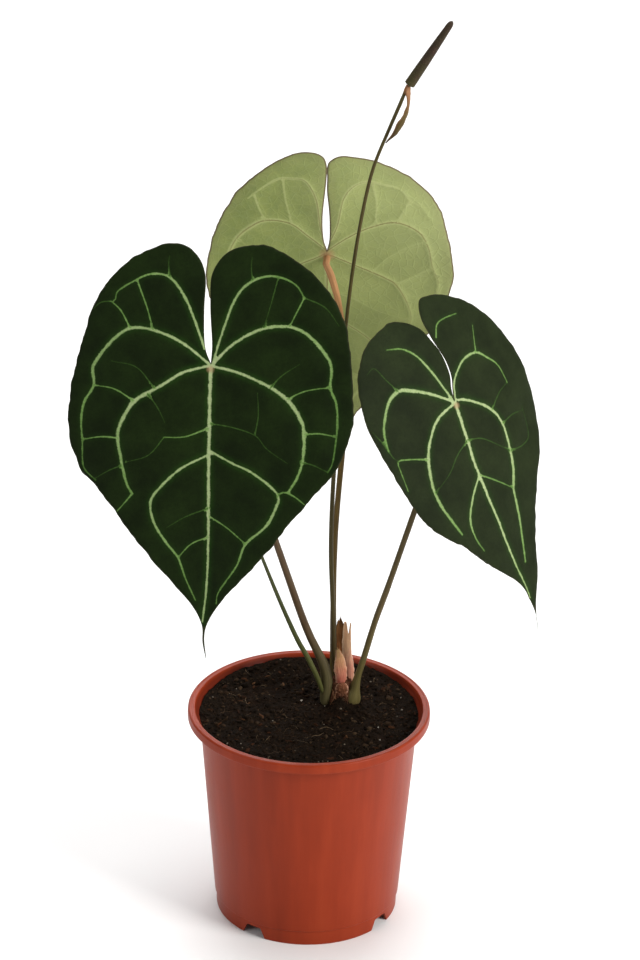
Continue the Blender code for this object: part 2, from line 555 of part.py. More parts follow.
def main():
    for old in list(bpy.data.objects):
        bpy.data.objects.remove(old)

    terracotta = material("terracotta_plastic", (0.42, 0.115, 0.058), 0.42)
    soil = material("potting_mix", (0.045, 0.026, 0.017), 0.95)
    wood = material("rhizome_bark", (0.10, 0.05, 0.028), 0.85)
    leaf = material("leaf_upper", (0.035, 0.085, 0.030), 0.5)
    brown_stem = material("petiole_brown", (0.13, 0.075, 0.040), 0.5)
    dark_stem = material("stalk_dark", (0.055, 0.030, 0.022), 0.5)
    green_stem = material("stalk_green", (0.10, 0.13, 0.04), 0.5)
    spike = material("spadix", (0.06, 0.045, 0.035), 0.6)
    spathe_skin = material("spathe", (0.30, 0.17, 0.10), 0.5)
    papers = {
        "cataphyll_brown": material("cataphyll_brown", (0.16, 0.08, 0.04), 0.8),
        "cataphyll_tan": material("cataphyll_tan", (0.45, 0.26, 0.17), 0.8),
        "cataphyll_pink": material("cataphyll_pink", (0.48, 0.17, 0.13), 0.7),
        "cataphyll_base": material("cataphyll_base", (0.22, 0.07, 0.045), 0.8)}

    make_pot(terracotta)
    mix = make_mix(soil)
    rhizome = add("rhizome", rhizome_mesh(), wood)

    stems = {
        "leaf_left_petiole": (petiole_points(PETIOLE_LEFT, LEAF_LEFT), brown_stem),
        "leaf_right_petiole": (petiole_points(PETIOLE_RIGHT, LEAF_RIGHT), brown_stem),
        "leaf_back_petiole": (petiole_points(PETIOLE_BACK, LEAF_BACK), brown_stem),
        "flower_stalk": (lifted(FLOWER_STALK), dark_stem),
        "young_stalk": (lifted(YOUNG_STALK), green_stem)}
    made = {}
    for name, (points, finish) in stems.items():
        made[name] = add(name, tube(points), finish)
        socket = as_cutter(add(f"{name}_socket", tube(points, GAP, GAP)))
        cut(rhizome, socket)
        cut(mix, socket)
    cut(made["leaf_left_petiole"], bpy.data.objects["young_stalk_socket"])

    bracts = {
        "cataphyll_brown": (CATAPHYLL_BROWN, (0.2, 1, 0.1)),
        "cataphyll_tan": (CATAPHYLL_TAN, (0.5, -0.85, 0.1)),
        "cataphyll_pink": (CATAPHYLL_PINK, (0.35, -1, 0.1)),
        "cataphyll_base": (CATAPHYLL_BASE, (0.05, -1, 0.1))}
    for name, (points, outward) in bracts.items():
        add(name, bract(points, outward), papers[name])
        slit = as_cutter(add(f"{name}_slit", bract(points, outward, GAP, GAP)))
        cut(rhizome, slit)
        cut(mix, slit)
    cut(mix, as_cutter(add("rhizome_hollow", rhizome_mesh(GAP))))

    for name, blade in (("leaf_left", LEAF_LEFT), ("leaf_right", LEAF_RIGHT), ("leaf_back", LEAF_BACK)):
        make_blade(f"{name}_blade", blade, leaf)

    add("spathe", bract(SPATHE, (0.75, -0.55, 0.35)), spathe_skin)
    add("young_spathe", bract(YOUNG_SPATHE, (-1, 0, 0.3)), green_stem)
    add("spadix", tube(spadix_points(FLOWER_STALK, SPADIX_DIRECTION, SPADIX_LENGTH, SPADIX_RADIUS,
                                     SPADIX_TIP_RADIUS)), spike)
    add("young_spadix", tube(spadix_points(YOUNG_STALK, YOUNG_SPADIX_DIRECTION, YOUNG_SPADIX_LENGTH,
                                           YOUNG_SPADIX_RADIUS, YOUNG_SPADIX_TIP_RADIUS)), spike)


main()
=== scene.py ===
"""The looks of the potted anthurium: velvet blades, stems, flower, crown, potting mix and moulded pot.

Metres, +Z up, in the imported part's frame. A blade's outline is in shares of its size and its veins are
in millimetres, both in the blade's own plane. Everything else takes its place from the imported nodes.
"""
import json
import math
import random
from dataclasses import dataclass

import bmesh
import bpy
import numpy as np
from mathutils import Matrix, Vector, geometry, kdtree, noise

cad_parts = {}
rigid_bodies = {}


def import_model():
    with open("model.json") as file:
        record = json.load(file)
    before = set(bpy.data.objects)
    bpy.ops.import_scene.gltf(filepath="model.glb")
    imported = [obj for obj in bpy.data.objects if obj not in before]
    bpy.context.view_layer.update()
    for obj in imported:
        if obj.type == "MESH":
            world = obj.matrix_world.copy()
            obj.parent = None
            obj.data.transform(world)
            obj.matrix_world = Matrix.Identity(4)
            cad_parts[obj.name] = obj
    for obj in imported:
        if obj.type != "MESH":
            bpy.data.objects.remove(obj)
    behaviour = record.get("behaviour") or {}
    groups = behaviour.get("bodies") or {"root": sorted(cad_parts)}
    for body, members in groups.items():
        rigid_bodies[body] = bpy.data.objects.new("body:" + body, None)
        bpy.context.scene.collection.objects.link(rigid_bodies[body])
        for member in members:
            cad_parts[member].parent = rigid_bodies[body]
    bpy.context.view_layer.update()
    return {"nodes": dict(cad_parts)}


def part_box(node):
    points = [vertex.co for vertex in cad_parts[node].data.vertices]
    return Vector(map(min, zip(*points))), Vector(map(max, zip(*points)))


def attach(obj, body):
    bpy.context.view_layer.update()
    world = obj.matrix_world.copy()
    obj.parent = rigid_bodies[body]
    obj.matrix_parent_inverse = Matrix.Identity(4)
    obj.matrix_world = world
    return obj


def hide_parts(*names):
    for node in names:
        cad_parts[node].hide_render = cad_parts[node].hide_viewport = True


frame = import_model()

MM = 0.001
BODY = "root"


# ---- shading ------------------------------------------------------------------------------------
class Shader:
    """One material's node tree, with short ways to add its nodes. Patterns are in object space, in metres."""

    def __init__(self, name, **constants):
        self.material = bpy.data.materials.new(name)
        self.material.use_nodes = True
        self.tree = self.material.node_tree
        self.surface = self.tree.nodes["Principled BSDF"]
        for socket, value in constants.items():
            self.surface.inputs[socket.replace("_", " ")].default_value = value
        self.place = self.tree.nodes.new("ShaderNodeTexCoord").outputs["Object"]

    def node(self, kind, inputs, **settings):
        made = self.tree.nodes.new("ShaderNode" + kind)
        for key, value in settings.items():
            setattr(made, key, value)
        for key, value in inputs.items():
            if isinstance(value, bpy.types.NodeSocket):
                self.tree.links.new(value, made.inputs[key])
            else:
                made.inputs[key].default_value = value
        return made

    def math(self, operation, a, b=0.0):
        return self.node("Math", {0: a, 1: b}, operation=operation).outputs[0]

    def add(self, a, b):
        return self.math("ADD", a, b)

    def times(self, a, b):
        return self.math("MULTIPLY", a, b)

    def mix(self, share, a, b):
        inputs = {0: share, 6: self.color(a), 7: self.color(b)}
        return self.node("Mix", inputs, data_type="RGBA").outputs[2]

    def color(self, value):
        return value if isinstance(value, bpy.types.NodeSocket) else (*value, 1)

    def spread(self, value, low, high, to_low=0.0, to_high=1.0):
        """The value's range from low to high, stretched to another range and held inside it."""
        inputs = {0: value, 1: low, 2: high, 3: to_low, 4: to_high}
        return self.node("MapRange", inputs).outputs[0]

    def ramp(self, value, *stops):
        """A colour ramp with stops of (position, colour)."""
        made = self.node("ValToRGB", {0: value})
        elements = made.color_ramp.elements
        while len(elements) < len(stops):
            elements.new(0.5)
        for element, (position, color) in zip(elements, stops):
            element.position = position
            element.color = (*color, 1)
        return made.outputs[0]

    def attribute(self, name):
        return self.node("Attribute", {}, attribute_name=name).outputs["Fac"]

    def grain(self, *scale):
        """The surface's own coordinates: round a stem and along it, in metres, stretched by scale."""
        uv = self.node("UVMap", {}, uv_map="Grain").outputs[0]
        return self.node("Mapping", {0: uv, 3: scale}).outputs[0]

    def noise(self, scale, detail=4.0, roughness=0.55, place=None, distortion=0.0):
        inputs = {"Vector": place or self.place, "Scale": scale, "Detail": detail, "Roughness": roughness,
                  "Distortion": distortion}
        return self.node("TexNoise", inputs).outputs[0]

    def cells(self, scale, feature="F1", place=None, randomness=1.0):
        inputs = {"Vector": place or self.place, "Scale": scale, "Randomness": randomness}
        return self.node("TexVoronoi", inputs, feature=feature).outputs["Distance"]

    def bump(self, height, distance, strength=1.0, below=None):
        inputs = {"Strength": strength, "Distance": distance, "Height": height}
        if below:
            inputs["Normal"] = below
        return self.node("Bump", inputs).outputs[0]

    def finish(self, color, roughness, normal):
        for socket, value in (("Base Color", color), ("Roughness", roughness), ("Normal", normal)):
            self.tree.links.new(value, self.surface.inputs[socket])
        return self.material


# ---- making pieces --------------------------------------------------------------------------------
def piece(name, mesh, materials, slot, *nodes):
    """A finished piece: it rides on the body and stands for the CAD nodes, which it hides. Its slot is not used."""
    for material in materials:
        mesh.materials.append(material)
    made = bpy.data.objects.new(name, mesh)
    bpy.context.scene.collection.objects.link(made)
    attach(made, BODY)
    if nodes:
        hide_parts(*nodes)
    return made


def mesh_of(name, spots, faces, uvs=None, smooth=True):
    """A mesh from points and faces. uvs are (u, v) pairs, one for each corner of each face in turn."""
    mesh = bpy.data.meshes.new(name)
    mesh.from_pydata([tuple(s) for s in spots], [], [tuple(int(i) for i in f) for f in faces])
    if uvs is not None:
        layer = mesh.uv_layers.new(name="Grain")
        layer.uv.foreach_set("vector", np.asarray(uvs, np.float32).ravel())
    mesh.validate()
    if smooth:
        mesh.shade_smooth()
    return mesh


def set_attribute(mesh, name, values):
    mesh.attributes.new(name, "FLOAT", "POINT").data.foreach_set("value", np.asarray(values, np.float32))


def spline(points, steps):
    """Smooth curve through the points, as an array, with this many steps in each span."""
    p = np.asarray(points, float)
    p = np.vstack([2 * p[0] - p[1], p, 2 * p[-1] - p[-2]])
    t = np.linspace(0, 1, steps, endpoint=False)[:, None]
    spans = []
    for a, b, c, d in zip(p, p[1:], p[2:], p[3:]):
        spans.append(0.5 * (2 * b + (c - a) * t + (2 * a - 5 * b + 4 * c - d) * t * t
                            + (3 * b - a - 3 * c + d) * t ** 3))
    return np.vstack(spans + [p[-2:-1]])


def even_steps(curve, spacing):
    """The same curve with its points at even distances, about this far apart."""
    lengths = np.concatenate([[0], np.cumsum(np.linalg.norm(np.diff(curve, axis=0), axis=1))])
    count = max(2, round(lengths[-1] / spacing))
    targets = np.linspace(0, lengths[-1], count + 1)
    return np.stack([np.interp(targets, lengths, column) for column in curve.T], 1)


# ---- blades ---------------------------------------------------------------------------------------
NET = 1.25                   # distance between the points of a blade's net, in millimetres
LINE = 0.9                   # the same along its outline and its veins
BLADE_THICKNESS = 0.55       # millimetres
RIM_BULGE = 0.08             # how far the rounded edge stands out from the net
EDGE_UNEVEN = 0.75           # height of the small waves in an outline
EDGE_MIDDLE = 0.3            # share of the length at which the waves point straight across
CREASE = 4.0                 # half width of the soft crease along the midrib

# half width in millimetres, then paleness from 0 to 1, each at a vein's start, middle and end
VEIN_KINDS = {
    "midrib": ((0.95, 0.72, 0.32), (0.98, 0.92, 0.74)),
    "main": ((0.58, 0.92, 0.55), (0.95, 0.88, 0.56)),
    "long": ((0.62, 0.80, 0.32), (0.95, 0.72, 0.30)),
    "side": ((0.52, 0.66, 0.32), (0.88, 0.78, 0.40)),
    "cross": ((0.42, 0.36, 0.28), (0.58, 0.50, 0.42)),
    "faint": ((0.32, 0.28, 0.22), (0.26, 0.20, 0.10))}


@dataclass
class Blade:
    """One heart-shaped blade. An outline point is (share of the half width, share of the length)."""
    name: str
    seat: tuple              # bottom of the notch between the lobes, where the midrib starts
    facing: float            # degrees, where the upper side faces: 0 is the front, 90 is +X
    lean: float              # degrees that the upper side is turned up
    roll: float              # degrees that the blade is turned in its own plane
    length: float            # millimetres from the seat to the tip
    half_width: float
    fold: float              # rise of both halves from the midrib
    arch: float              # bend of both halves back down, per millimetre
    droop: float             # bend of the tip end
    lobe_droop: float        # bend of the lobes
    wave: float              # height of the waves along the margin, in millimetres
    wave_length: float
    right: list
    left: list
    veins: list              # (kind, points in millimetres across and along)

    def axes(self):
        """Across to the right, along to the tip, and the upper side's normal."""
        turn, tilt, spin = (math.radians(a) for a in (self.facing, self.lean, self.roll))
        across = Vector((math.cos(turn), math.sin(turn), 0))
        ahead = Vector((math.sin(turn), -math.cos(turn), 0))
        along = ahead * math.sin(tilt) - Vector((0, 0, math.cos(tilt)))
        normal = ahead * math.cos(tilt) + Vector((0, 0, math.sin(tilt)))
        return (across * math.cos(spin) + along * math.sin(spin),
                along * math.cos(spin) - across * math.sin(spin), normal)

    def rise(self, x, y):
        """Height of the blade's middle over its own plane, in millimetres."""
        bend = np.where(y > 0, self.droop, self.lobe_droop)
        ripple = np.sin(math.tau * (y / self.wave_length + np.where(x > 0, 0.3, -0.3)))
        rim = np.minimum(np.abs(x) / self.half_width, 1.2) ** 3
        crease = np.sqrt(x * x + CREASE ** 2) - CREASE
        return self.fold * crease - self.arch * x * x - bend * y * y + self.wave * rim * ripple

    def place(self, x, y, above):
        """World positions of points this many millimetres above the blade's middle."""
        across, along, normal = (np.array(a) for a in self.axes())
        height = self.rise(x, y) + above
        local = np.outer(x, across) + np.outer(y, along) + np.outer(height, normal)
        return np.array(self.seat) + local * MM

    def outline(self):
        halves = []
        for side, points in ((1, self.right), (-1, self.left)):
            size = (side * self.half_width, self.length)
            halves.append(even_steps(spline(np.multiply(points, size), 8), LINE))
        edge = np.vstack([halves[0], halves[1][-2:0:-1]])
        away = edge - (0, EDGE_MIDDLE * self.length)
        away /= np.linalg.norm(away, axis=1)[:, None]
        uneven = [noise.noise((x / 9, y / 9, self.facing)) + 0.5 * noise.noise((x / 3.2, y / 3.2, 0)) for x, y in edge]
        calm = np.clip((np.abs(edge[:, 0]) - 5) / 9, 0, 1)
        return edge + away * (EDGE_UNEVEN * np.array(uneven) * calm)[:, None]


def is_inside(points, edge):
    """Which points lie inside the closed edge."""
    x, y = points[:, :1], points[:, 1:]
    ax, ay = edge.T
    bx, by = np.roll(edge, -1, axis=0).T
    spans = (ay > y) != (by > y)
    crossing = ax + (bx - ax) * (y - ay) / np.where(by == ay, 1, by - ay)
    return (spans & (x < crossing)).sum(1) % 2 == 1


def vein_lines(blade, edge, edge_tree):
    """Each vein as (points, half widths, palenesses), without what lies outside the blade."""
    lines = []
    for kind, points in blade.veins:
        line = even_steps(spline(points, 8), LINE)
        share = np.linspace(0, 1, len(line))
        widths, lights = VEIN_KINDS[kind]
        keep = np.array([edge_tree.find((*p, 0))[2] > 0.5 for p in line]) & is_inside(line, edge)
        turns = np.flatnonzero(np.diff(np.concatenate([[0], keep, [0]])))
        runs = turns.reshape(-1, 2)
        first, last = max(runs, key=lambda run: run[1] - run[0])
        line, share = line[first:last], share[first:last]
        if len(line) > 2:
            marks = (0, 0.5, 1)
            lines.append((line, np.interp(share, marks, widths), np.interp(share, marks, lights)))
    return lines


def vein_fields(spots, lines):
    """For each point: the nearest vein's distance, how deep in its core it is, its paleness, and the glow."""
    gap = np.full(len(spots), 99.0)
    core = np.full(len(spots), -9.0)
    light = np.zeros(len(spots))
    glow = np.zeros(len(spots))
    for line, widths, lights in lines:
        start, step = line[:-1], np.diff(line, axis=0)
        size = (step ** 2).sum(1)
        share = np.clip(((spots[:, None] - start) * step).sum(2) / size, 0, 1)
        away = np.linalg.norm(spots[:, None] - start - share[..., None] * step, axis=2)
        nearest = away.argmin(1)
        rows = np.arange(len(spots))
        distance = away[rows, nearest]
        at = nearest + share[rows, nearest]
        width = np.interp(at, np.arange(len(line)), widths)
        pale = np.interp(at, np.arange(len(line)), lights)
        inside = 1 - distance / width
        wins = inside > core
        core = np.where(wins, inside, core)
        light = np.where(wins, pale, light)
        gap = np.minimum(gap, distance + 3 * (1 - pale))
        reach = 1.0 + 1.7 * pale
        glow = np.maximum(glow, pale * np.exp(-(distance / reach) ** 2))
    return gap, core, light, glow


def tree_of(points):
    tree = kdtree.KDTree(len(points))
    for i, p in enumerate(points):
        tree.insert((p[0], p[1], 0), i)
    tree.balance()
    return tree


def blade_net(blade):
    """Flat net of triangles inside the outline, with edges along every vein."""
    rng = random.Random(blade.name)
    edge = blade.outline()
    edge_tree = tree_of(edge)
    lines = vein_lines(blade, edge, edge_tree)
    points = [Vector(p) for p in edge]
    chains = []
    for line, _, _ in lines:
        chains += [(len(points) + i, len(points) + i + 1) for i in range(len(line) - 1)]
        points += [Vector(p) for p in line]
    taken = tree_of(points)
    low, high = edge.min(0), edge.max(0)
    row_height = NET * math.sqrt(0.75)
    free = []
    for j in range(int((high[1] - low[1]) / row_height) + 1):
        for i in range(int((high[0] - low[0]) / NET) + 1):
            x = low[0] + (i + 0.5 * (j % 2)) * NET + rng.uniform(-0.2, 0.2)
            y = low[1] + j * row_height + rng.uniform(-0.2, 0.2)
            if taken.find((x, y, 0))[2] > 0.6 * NET:
                free.append((x, y))
    free = np.array(free)
    points += [Vector(p) for p in free[is_inside(free, edge)]]
    net = geometry.delaunay_2d_cdt(points, chains, [list(range(len(edge)))], 1, 1e-4)
    return np.array(net[0]), net[2], edge_tree, lines


def make_blade(blade, upper_finish, under_finish):
    """Closed sheet with sunken veins above, raised ones below, and a puckered surface between them."""
    spots, faces, edge_tree, lines = blade_net(blade)
    gap, core, light, glow = vein_fields(spots, lines)
    x, y = spots.T
    ridge = np.clip(1 + core / 1.6, 0, 1) ** 2 * (0.35 + 0.65 * light)
    pucker = 0.55 * (1 - np.exp(-(gap / 6.0) ** 2))
    pucker += [0.35 * noise.noise((a / 14, b / 14, blade.facing)) for a, b in spots]
    margin = np.array([edge_tree.find((a, b, 0))[2] for a, b in spots])
    thickness = BLADE_THICKNESS * np.clip(0.45 + margin / 3, 0, 1)
    top = blade.place(x, y, pucker + thickness / 2 - 0.16 * ridge)
    bottom = blade.place(x, y, pucker - thickness / 2 - 0.50 * ridge)

    count = len(spots)
    uses = {}
    for face in faces:
        for a, b in zip(face, face[1:] + face[:1]):
            uses[(a, b)] = uses.get((a, b), 0) + 1
    border = [(a, b) for a, b in uses if (b, a) not in uses]
    rim_of = {}
    for a, _ in border:
        rim_of.setdefault(a, 2 * count + len(rim_of))
    rim_at = list(rim_of)
    outward = np.zeros((count, 2))
    for a, b in border:
        step = spots[b] - spots[a]
        outward[[a, b]] += (step[1], -step[0])
    outward = outward[rim_at]
    outward /= np.linalg.norm(outward, axis=1)[:, None]
    rim_spots = spots[rim_at] + RIM_BULGE * outward
    rim = blade.place(rim_spots[:, 0], rim_spots[:, 1], pucker[rim_at])

    all_faces = [tuple(reversed(f)) for f in faces] + [tuple(i + count for i in f) for f in faces]
    all_faces += [(a, b, rim_of[b], rim_of[a]) for a, b in border]
    all_faces += [(rim_of[a], rim_of[b], b + count, a + count) for a, b in border]
    order = np.concatenate([np.arange(count), np.arange(count), rim_at]).astype(int)
    corners = np.concatenate([order[list(f)] for f in all_faces])
    mesh = mesh_of(blade.name, np.vstack([top, bottom, rim]), all_faces, spots[corners] * MM)
    for title, values in (("vein_core", core), ("vein_light", light), ("vein_glow", glow),
                          ("vein_gap", gap), ("margin", margin)):
        set_attribute(mesh, title, values[order])
    distance = np.hypot(x, y - 2.5)
    set_attribute(mesh, "from_seat", distance[order])
    slots = np.zeros(len(all_faces), np.int32)
    slots[len(faces):2 * len(faces)] = 1
    slots[-len(border):] = 1
    made = piece(blade.name, mesh, [upper_finish, under_finish], "leaf_upper", blade.name + "_blade")
    mesh.polygons.foreach_set("material_index", slots)
    return made


def velvet(name, dark, lit, sheen):
    """Velvety upper side: near-black green cells, a green glow along the veins and pale vein cores."""
    s = Shader(name, Specular_IOR_Level=0.05, Sheen_Weight=sheen, Sheen_Roughness=0.45,
               Sheen_Tint=(0.72, 0.82, 0.62, 1))
    core, light = s.attribute("vein_core"), s.attribute("vein_light")
    fine = s.noise(1700, 5, 0.7)
    patchy = s.noise(60, 5, 0.6)
    body = s.mix(s.spread(patchy, 0.35, 0.68), dark, lit)
    body = s.mix(s.spread(s.noise(700, 4, 0.7), 0.45, 0.75, 0.0, 0.4), body, [c * 0.55 for c in dark])
    glow = s.math("POWER", s.attribute("vein_glow"), 1.6)
    glow = s.times(glow, s.spread(s.noise(420, 4, 0.65), 0.3, 0.7, 0.35, 1.0))
    body = s.mix(s.times(glow, 0.50), body, (0.022, 0.082, 0.008))
    ragged = s.add(core, s.spread(fine, 0.25, 0.75, -0.34, 0.34))
    ragged = s.add(ragged, s.spread(s.noise(330, 3), 0.3, 0.7, -0.34, 0.24))
    mask = s.times(s.spread(ragged, -0.22, 0.42), s.spread(light, 0.02, 0.30, 0.25, 1.0))
    tone = s.add(light, s.spread(s.noise(900, 3, 0.6), 0.3, 0.7, -0.10, 0.10))
    pale = s.ramp(tone, (0.10, (0.018, 0.042, 0.007)), (0.32, (0.042, 0.092, 0.018)),
                  (0.58, (0.118, 0.212, 0.056)), (0.80, (0.215, 0.300, 0.118)), (1.0, (0.320, 0.385, 0.195)))
    color = s.mix(mask, body, pale)
    color = s.mix(s.spread(s.attribute("from_seat"), 0.7, 2.3, 0.70, 0.0), color, (0.34, 0.22, 0.12))
    color = s.mix(s.spread(s.attribute("margin"), 0.10, 0.50, 0.75, 0.0), color, (0.030, 0.030, 0.014))
    roughness = s.spread(fine, 0.3, 0.7, 0.52, 0.70)
    nap = s.bump(s.noise(3800, 3, 0.7), 0.00016, 0.5)
    veined = s.bump(s.noise(1100, 4, 0.6), 0.00012, 0.45, nap)
    return s.finish(color, roughness, veined)


def underside(name):
    """Matte light green underside: raised veins, brown along their crests, in a fine pale network."""
    s = Shader(name, Specular_IOR_Level=0.10, Subsurface_Weight=0.05)
    s.surface.inputs["Subsurface Radius"].default_value = (0.0008, 0.0010, 0.0003)
    core, light, glow = s.attribute("vein_core"), s.attribute("vein_light"), s.attribute("vein_glow")
    flat = s.grain(1, 1, 1)
    wide = s.cells(230, "DISTANCE_TO_EDGE", flat)
    small = s.cells(760, "DISTANCE_TO_EDGE", flat)
    body = s.ramp(s.noise(42, 6, 0.62), (0.30, (0.175, 0.212, 0.066)), (0.50, (0.238, 0.280, 0.088)),
                  (0.72, (0.312, 0.348, 0.118)))
    body = s.mix(s.spread(s.noise(420, 5, 0.7), 0.40, 0.70, 0.0, 0.35), body, (0.200, 0.250, 0.110))
    body = s.mix(s.spread(small, 0.0, 0.10, 0.12, 0.0), body, (0.430, 0.470, 0.215))
    body = s.mix(s.spread(wide, 0.0, 0.045, 0.12, 0.0), body, (0.450, 0.490, 0.225))
    # Painted light: the underside turns paler towards +X, the side the key light comes from.
    painted_light_right = s.spread(s.node("SeparateXYZ", {0: s.place}).outputs[0], -0.02, 0.065, 0.0, 0.55)
    body = s.mix(painted_light_right, body, (0.440, 0.475, 0.215))
    body = s.mix(s.times(s.math("POWER", glow, 1.3), 0.22), body, (0.400, 0.445, 0.180))
    ragged = s.add(core, s.spread(s.noise(1500, 4, 0.7), 0.25, 0.75, -0.20, 0.20))
    color = s.mix(s.times(s.spread(ragged, -0.9, 0.1), s.spread(light, 0.1, 0.6, 0.15, 0.62)), body,
                  (0.430, 0.465, 0.205))
    crest = s.times(s.spread(ragged, 0.40, 0.85), s.spread(light, 0.55, 0.90, 0.0, 0.75))
    color = s.mix(crest, color, (0.185, 0.145, 0.055))
    color = s.mix(s.spread(s.attribute("from_seat"), 1.2, 4.5, 0.8, 0.0), color, (0.42, 0.235, 0.115))
    color = s.mix(s.spread(s.attribute("margin"), 0.35, 0.95, 0.92, 0.0), color, (0.105, 0.062, 0.042))
    color = s.mix(s.spread(s.attribute("margin"), 1.0, 6.5, 0.22, 0.0), color, (0.210, 0.200, 0.095))
    roughness = s.spread(s.noise(900, 3), 0.3, 0.7, 0.44, 0.60)
    skin = s.bump(s.noise(2600, 4, 0.7), 0.00010, 0.5)
    network = s.bump(s.spread(wide, 0.0, 0.10, 1.0, 0.0), 0.00016, 0.5, skin)
    return s.finish(color, roughness, network)


LEAF_LEFT = Blade(
    name="leaf_left", seat=(-0.0482, -0.0350, 0.3108), facing=-8, lean=20, roll=0, length=142,
    half_width=68.0, fold=0.10, arch=0.0018, droop=0.0008, lobe_droop=0.0015, wave=1.2, wave_length=62,
    right=[(0, 0), (0, -0.07), (-0.03, -0.20), (-0.03, -0.30), (0.08, -0.375), (0.30, -0.40),
           (0.54, -0.36), (0.75, -0.28), (0.91, -0.16), (0.98, 0.0), (1.0, 0.17), (0.93, 0.30),
           (0.79, 0.40), (0.62, 0.505), (0.40, 0.65), (0.18, 0.775), (0.07, 0.86), (0.04, 0.92),
           (0.06, 1.0)],
    left=[(0, 0), (0.05, -0.06), (0.07, -0.18), (0.08, -0.29), (0.16, -0.36), (0.30, -0.388),
          (0.47, -0.365), (0.68, -0.29), (0.83, -0.18), (0.90, -0.06), (0.97, 0.10), (0.97, 0.24),
          (0.89, 0.37), (0.71, 0.46), (0.53, 0.565), (0.25, 0.715), (0.06, 0.81), (-0.02, 0.88),
          (-0.03, 0.94), (-0.06, 1.0)],
    veins=[
        ("midrib", [(0, 0), (1, 29), (2, 56), (3, 83), (3, 107), (1, 132), (3, 141)]),
        ("main", [(1, 1), (13, 3), (27, 8), (37, 14), (44, 23), (46, 31), (46, 42), (44, 50), (40, 58)]),
        ("long", [(1, 0), (10, -10), (23, -18), (36, -20), (46, -16), (54, -8), (57, -2), (57, 7),
                  (60, 14), (61, 22), (61, 30), (60, 42), (58, 47)]),
        ("side", [(1, -1), (5, -17), (10, -32), (17, -40), (27, -43), (37, -40), (42, -34)]),
        ("side", [(2, 41), (13, 46), (23, 50), (35, 59), (34, 67), (30, 75), (21, 84), (17, 95),
                  (9, 108), (8, 114)]),
        ("cross", [(40, 58), (44, 60), (48, 63)]),
        ("cross", [(40, 58), (37, 58), (35, 60)]),
        ("cross", [(37, 14), (44, 10), (51, 8), (57, 7)]),
        ("cross", [(46, 30), (53, 29), (61, 30)]),
        ("cross", [(42, -34), (39, -27), (36, -20)]),
        ("cross", [(3, 72), (12, 77), (21, 84)]),
        ("faint", [(29, -42), (26, -27), (24, -19)]),
        ("faint", [(42, -34), (52, -30), (59, -22)]),
        ("faint", [(17, -41), (16, -46), (16, -51)]),
        ("faint", [(45, 43), (51, 44), (58, 47)]),
        ("faint", [(2, 28), (12, 29), (23, 32), (29, 38), (39, 44)]),
        ("faint", [(23, 31), (24, 22), (23, 12)]),
        ("faint", [(29, 9), (34, 3), (42, -3)]),
        ("main", [(-1, 1), (-13, 5), (-23, 12), (-35, 20), (-41, 31), (-42, 38), (-40, 48), (-37, 59),
                  (-34, 64)]),
        ("long", [(-1, 0), (-14, -9), (-28, -14), (-39, -14), (-47, -8), (-53, 0), (-56, 6), (-55, 14),
                  (-59, 22), (-60, 31), (-59, 41), (-58, 53), (-52, 59)]),
        ("side", [(-1, -1), (-8, -18), (-14, -30), (-22, -39), (-31, -40), (-39, -36), (-46, -31),
                  (-47, -27)]),
        ("side", [(1, 43), (-11, 50), (-20, 59), (-25, 67), (-23, 77), (-17, 86), (-11, 93), (-7, 103),
                  (-2, 113)]),
        ("cross", [(-34, 64), (-37, 68), (-41, 73)]),
        ("cross", [(-37, -36), (-32, -25), (-28, -14)]),
        ("cross", [(-39, -14), (-44, -22), (-49, -26)]),
        ("cross", [(-35, 20), (-45, 15), (-55, 14)]),
        ("cross", [(-42, 38), (-50, 38), (-59, 40)]),
        ("cross", [(3, 82), (-5, 86), (-11, 93)]),
        ("faint", [(-49, -26), (-54, -25), (-58, -21)]),
        ("faint", [(-22, -40), (-23, -45), (-23, -49)]),
        ("faint", [(-40, 51), (-46, 54), (-52, 58)]),
        ("cross", [(1, 30), (-10, 35), (-20, 36)]),
        ("faint", [(-20, 36), (-27, 45), (-37, 49)]),
        ("faint", [(-26, 13), (-35, 4), (-47, 2)]),
        ("faint", [(-29, 16), (-24, 22), (-20, 29)]),
        ("faint", [(3, 68), (-8, 73), (-17, 79)])])

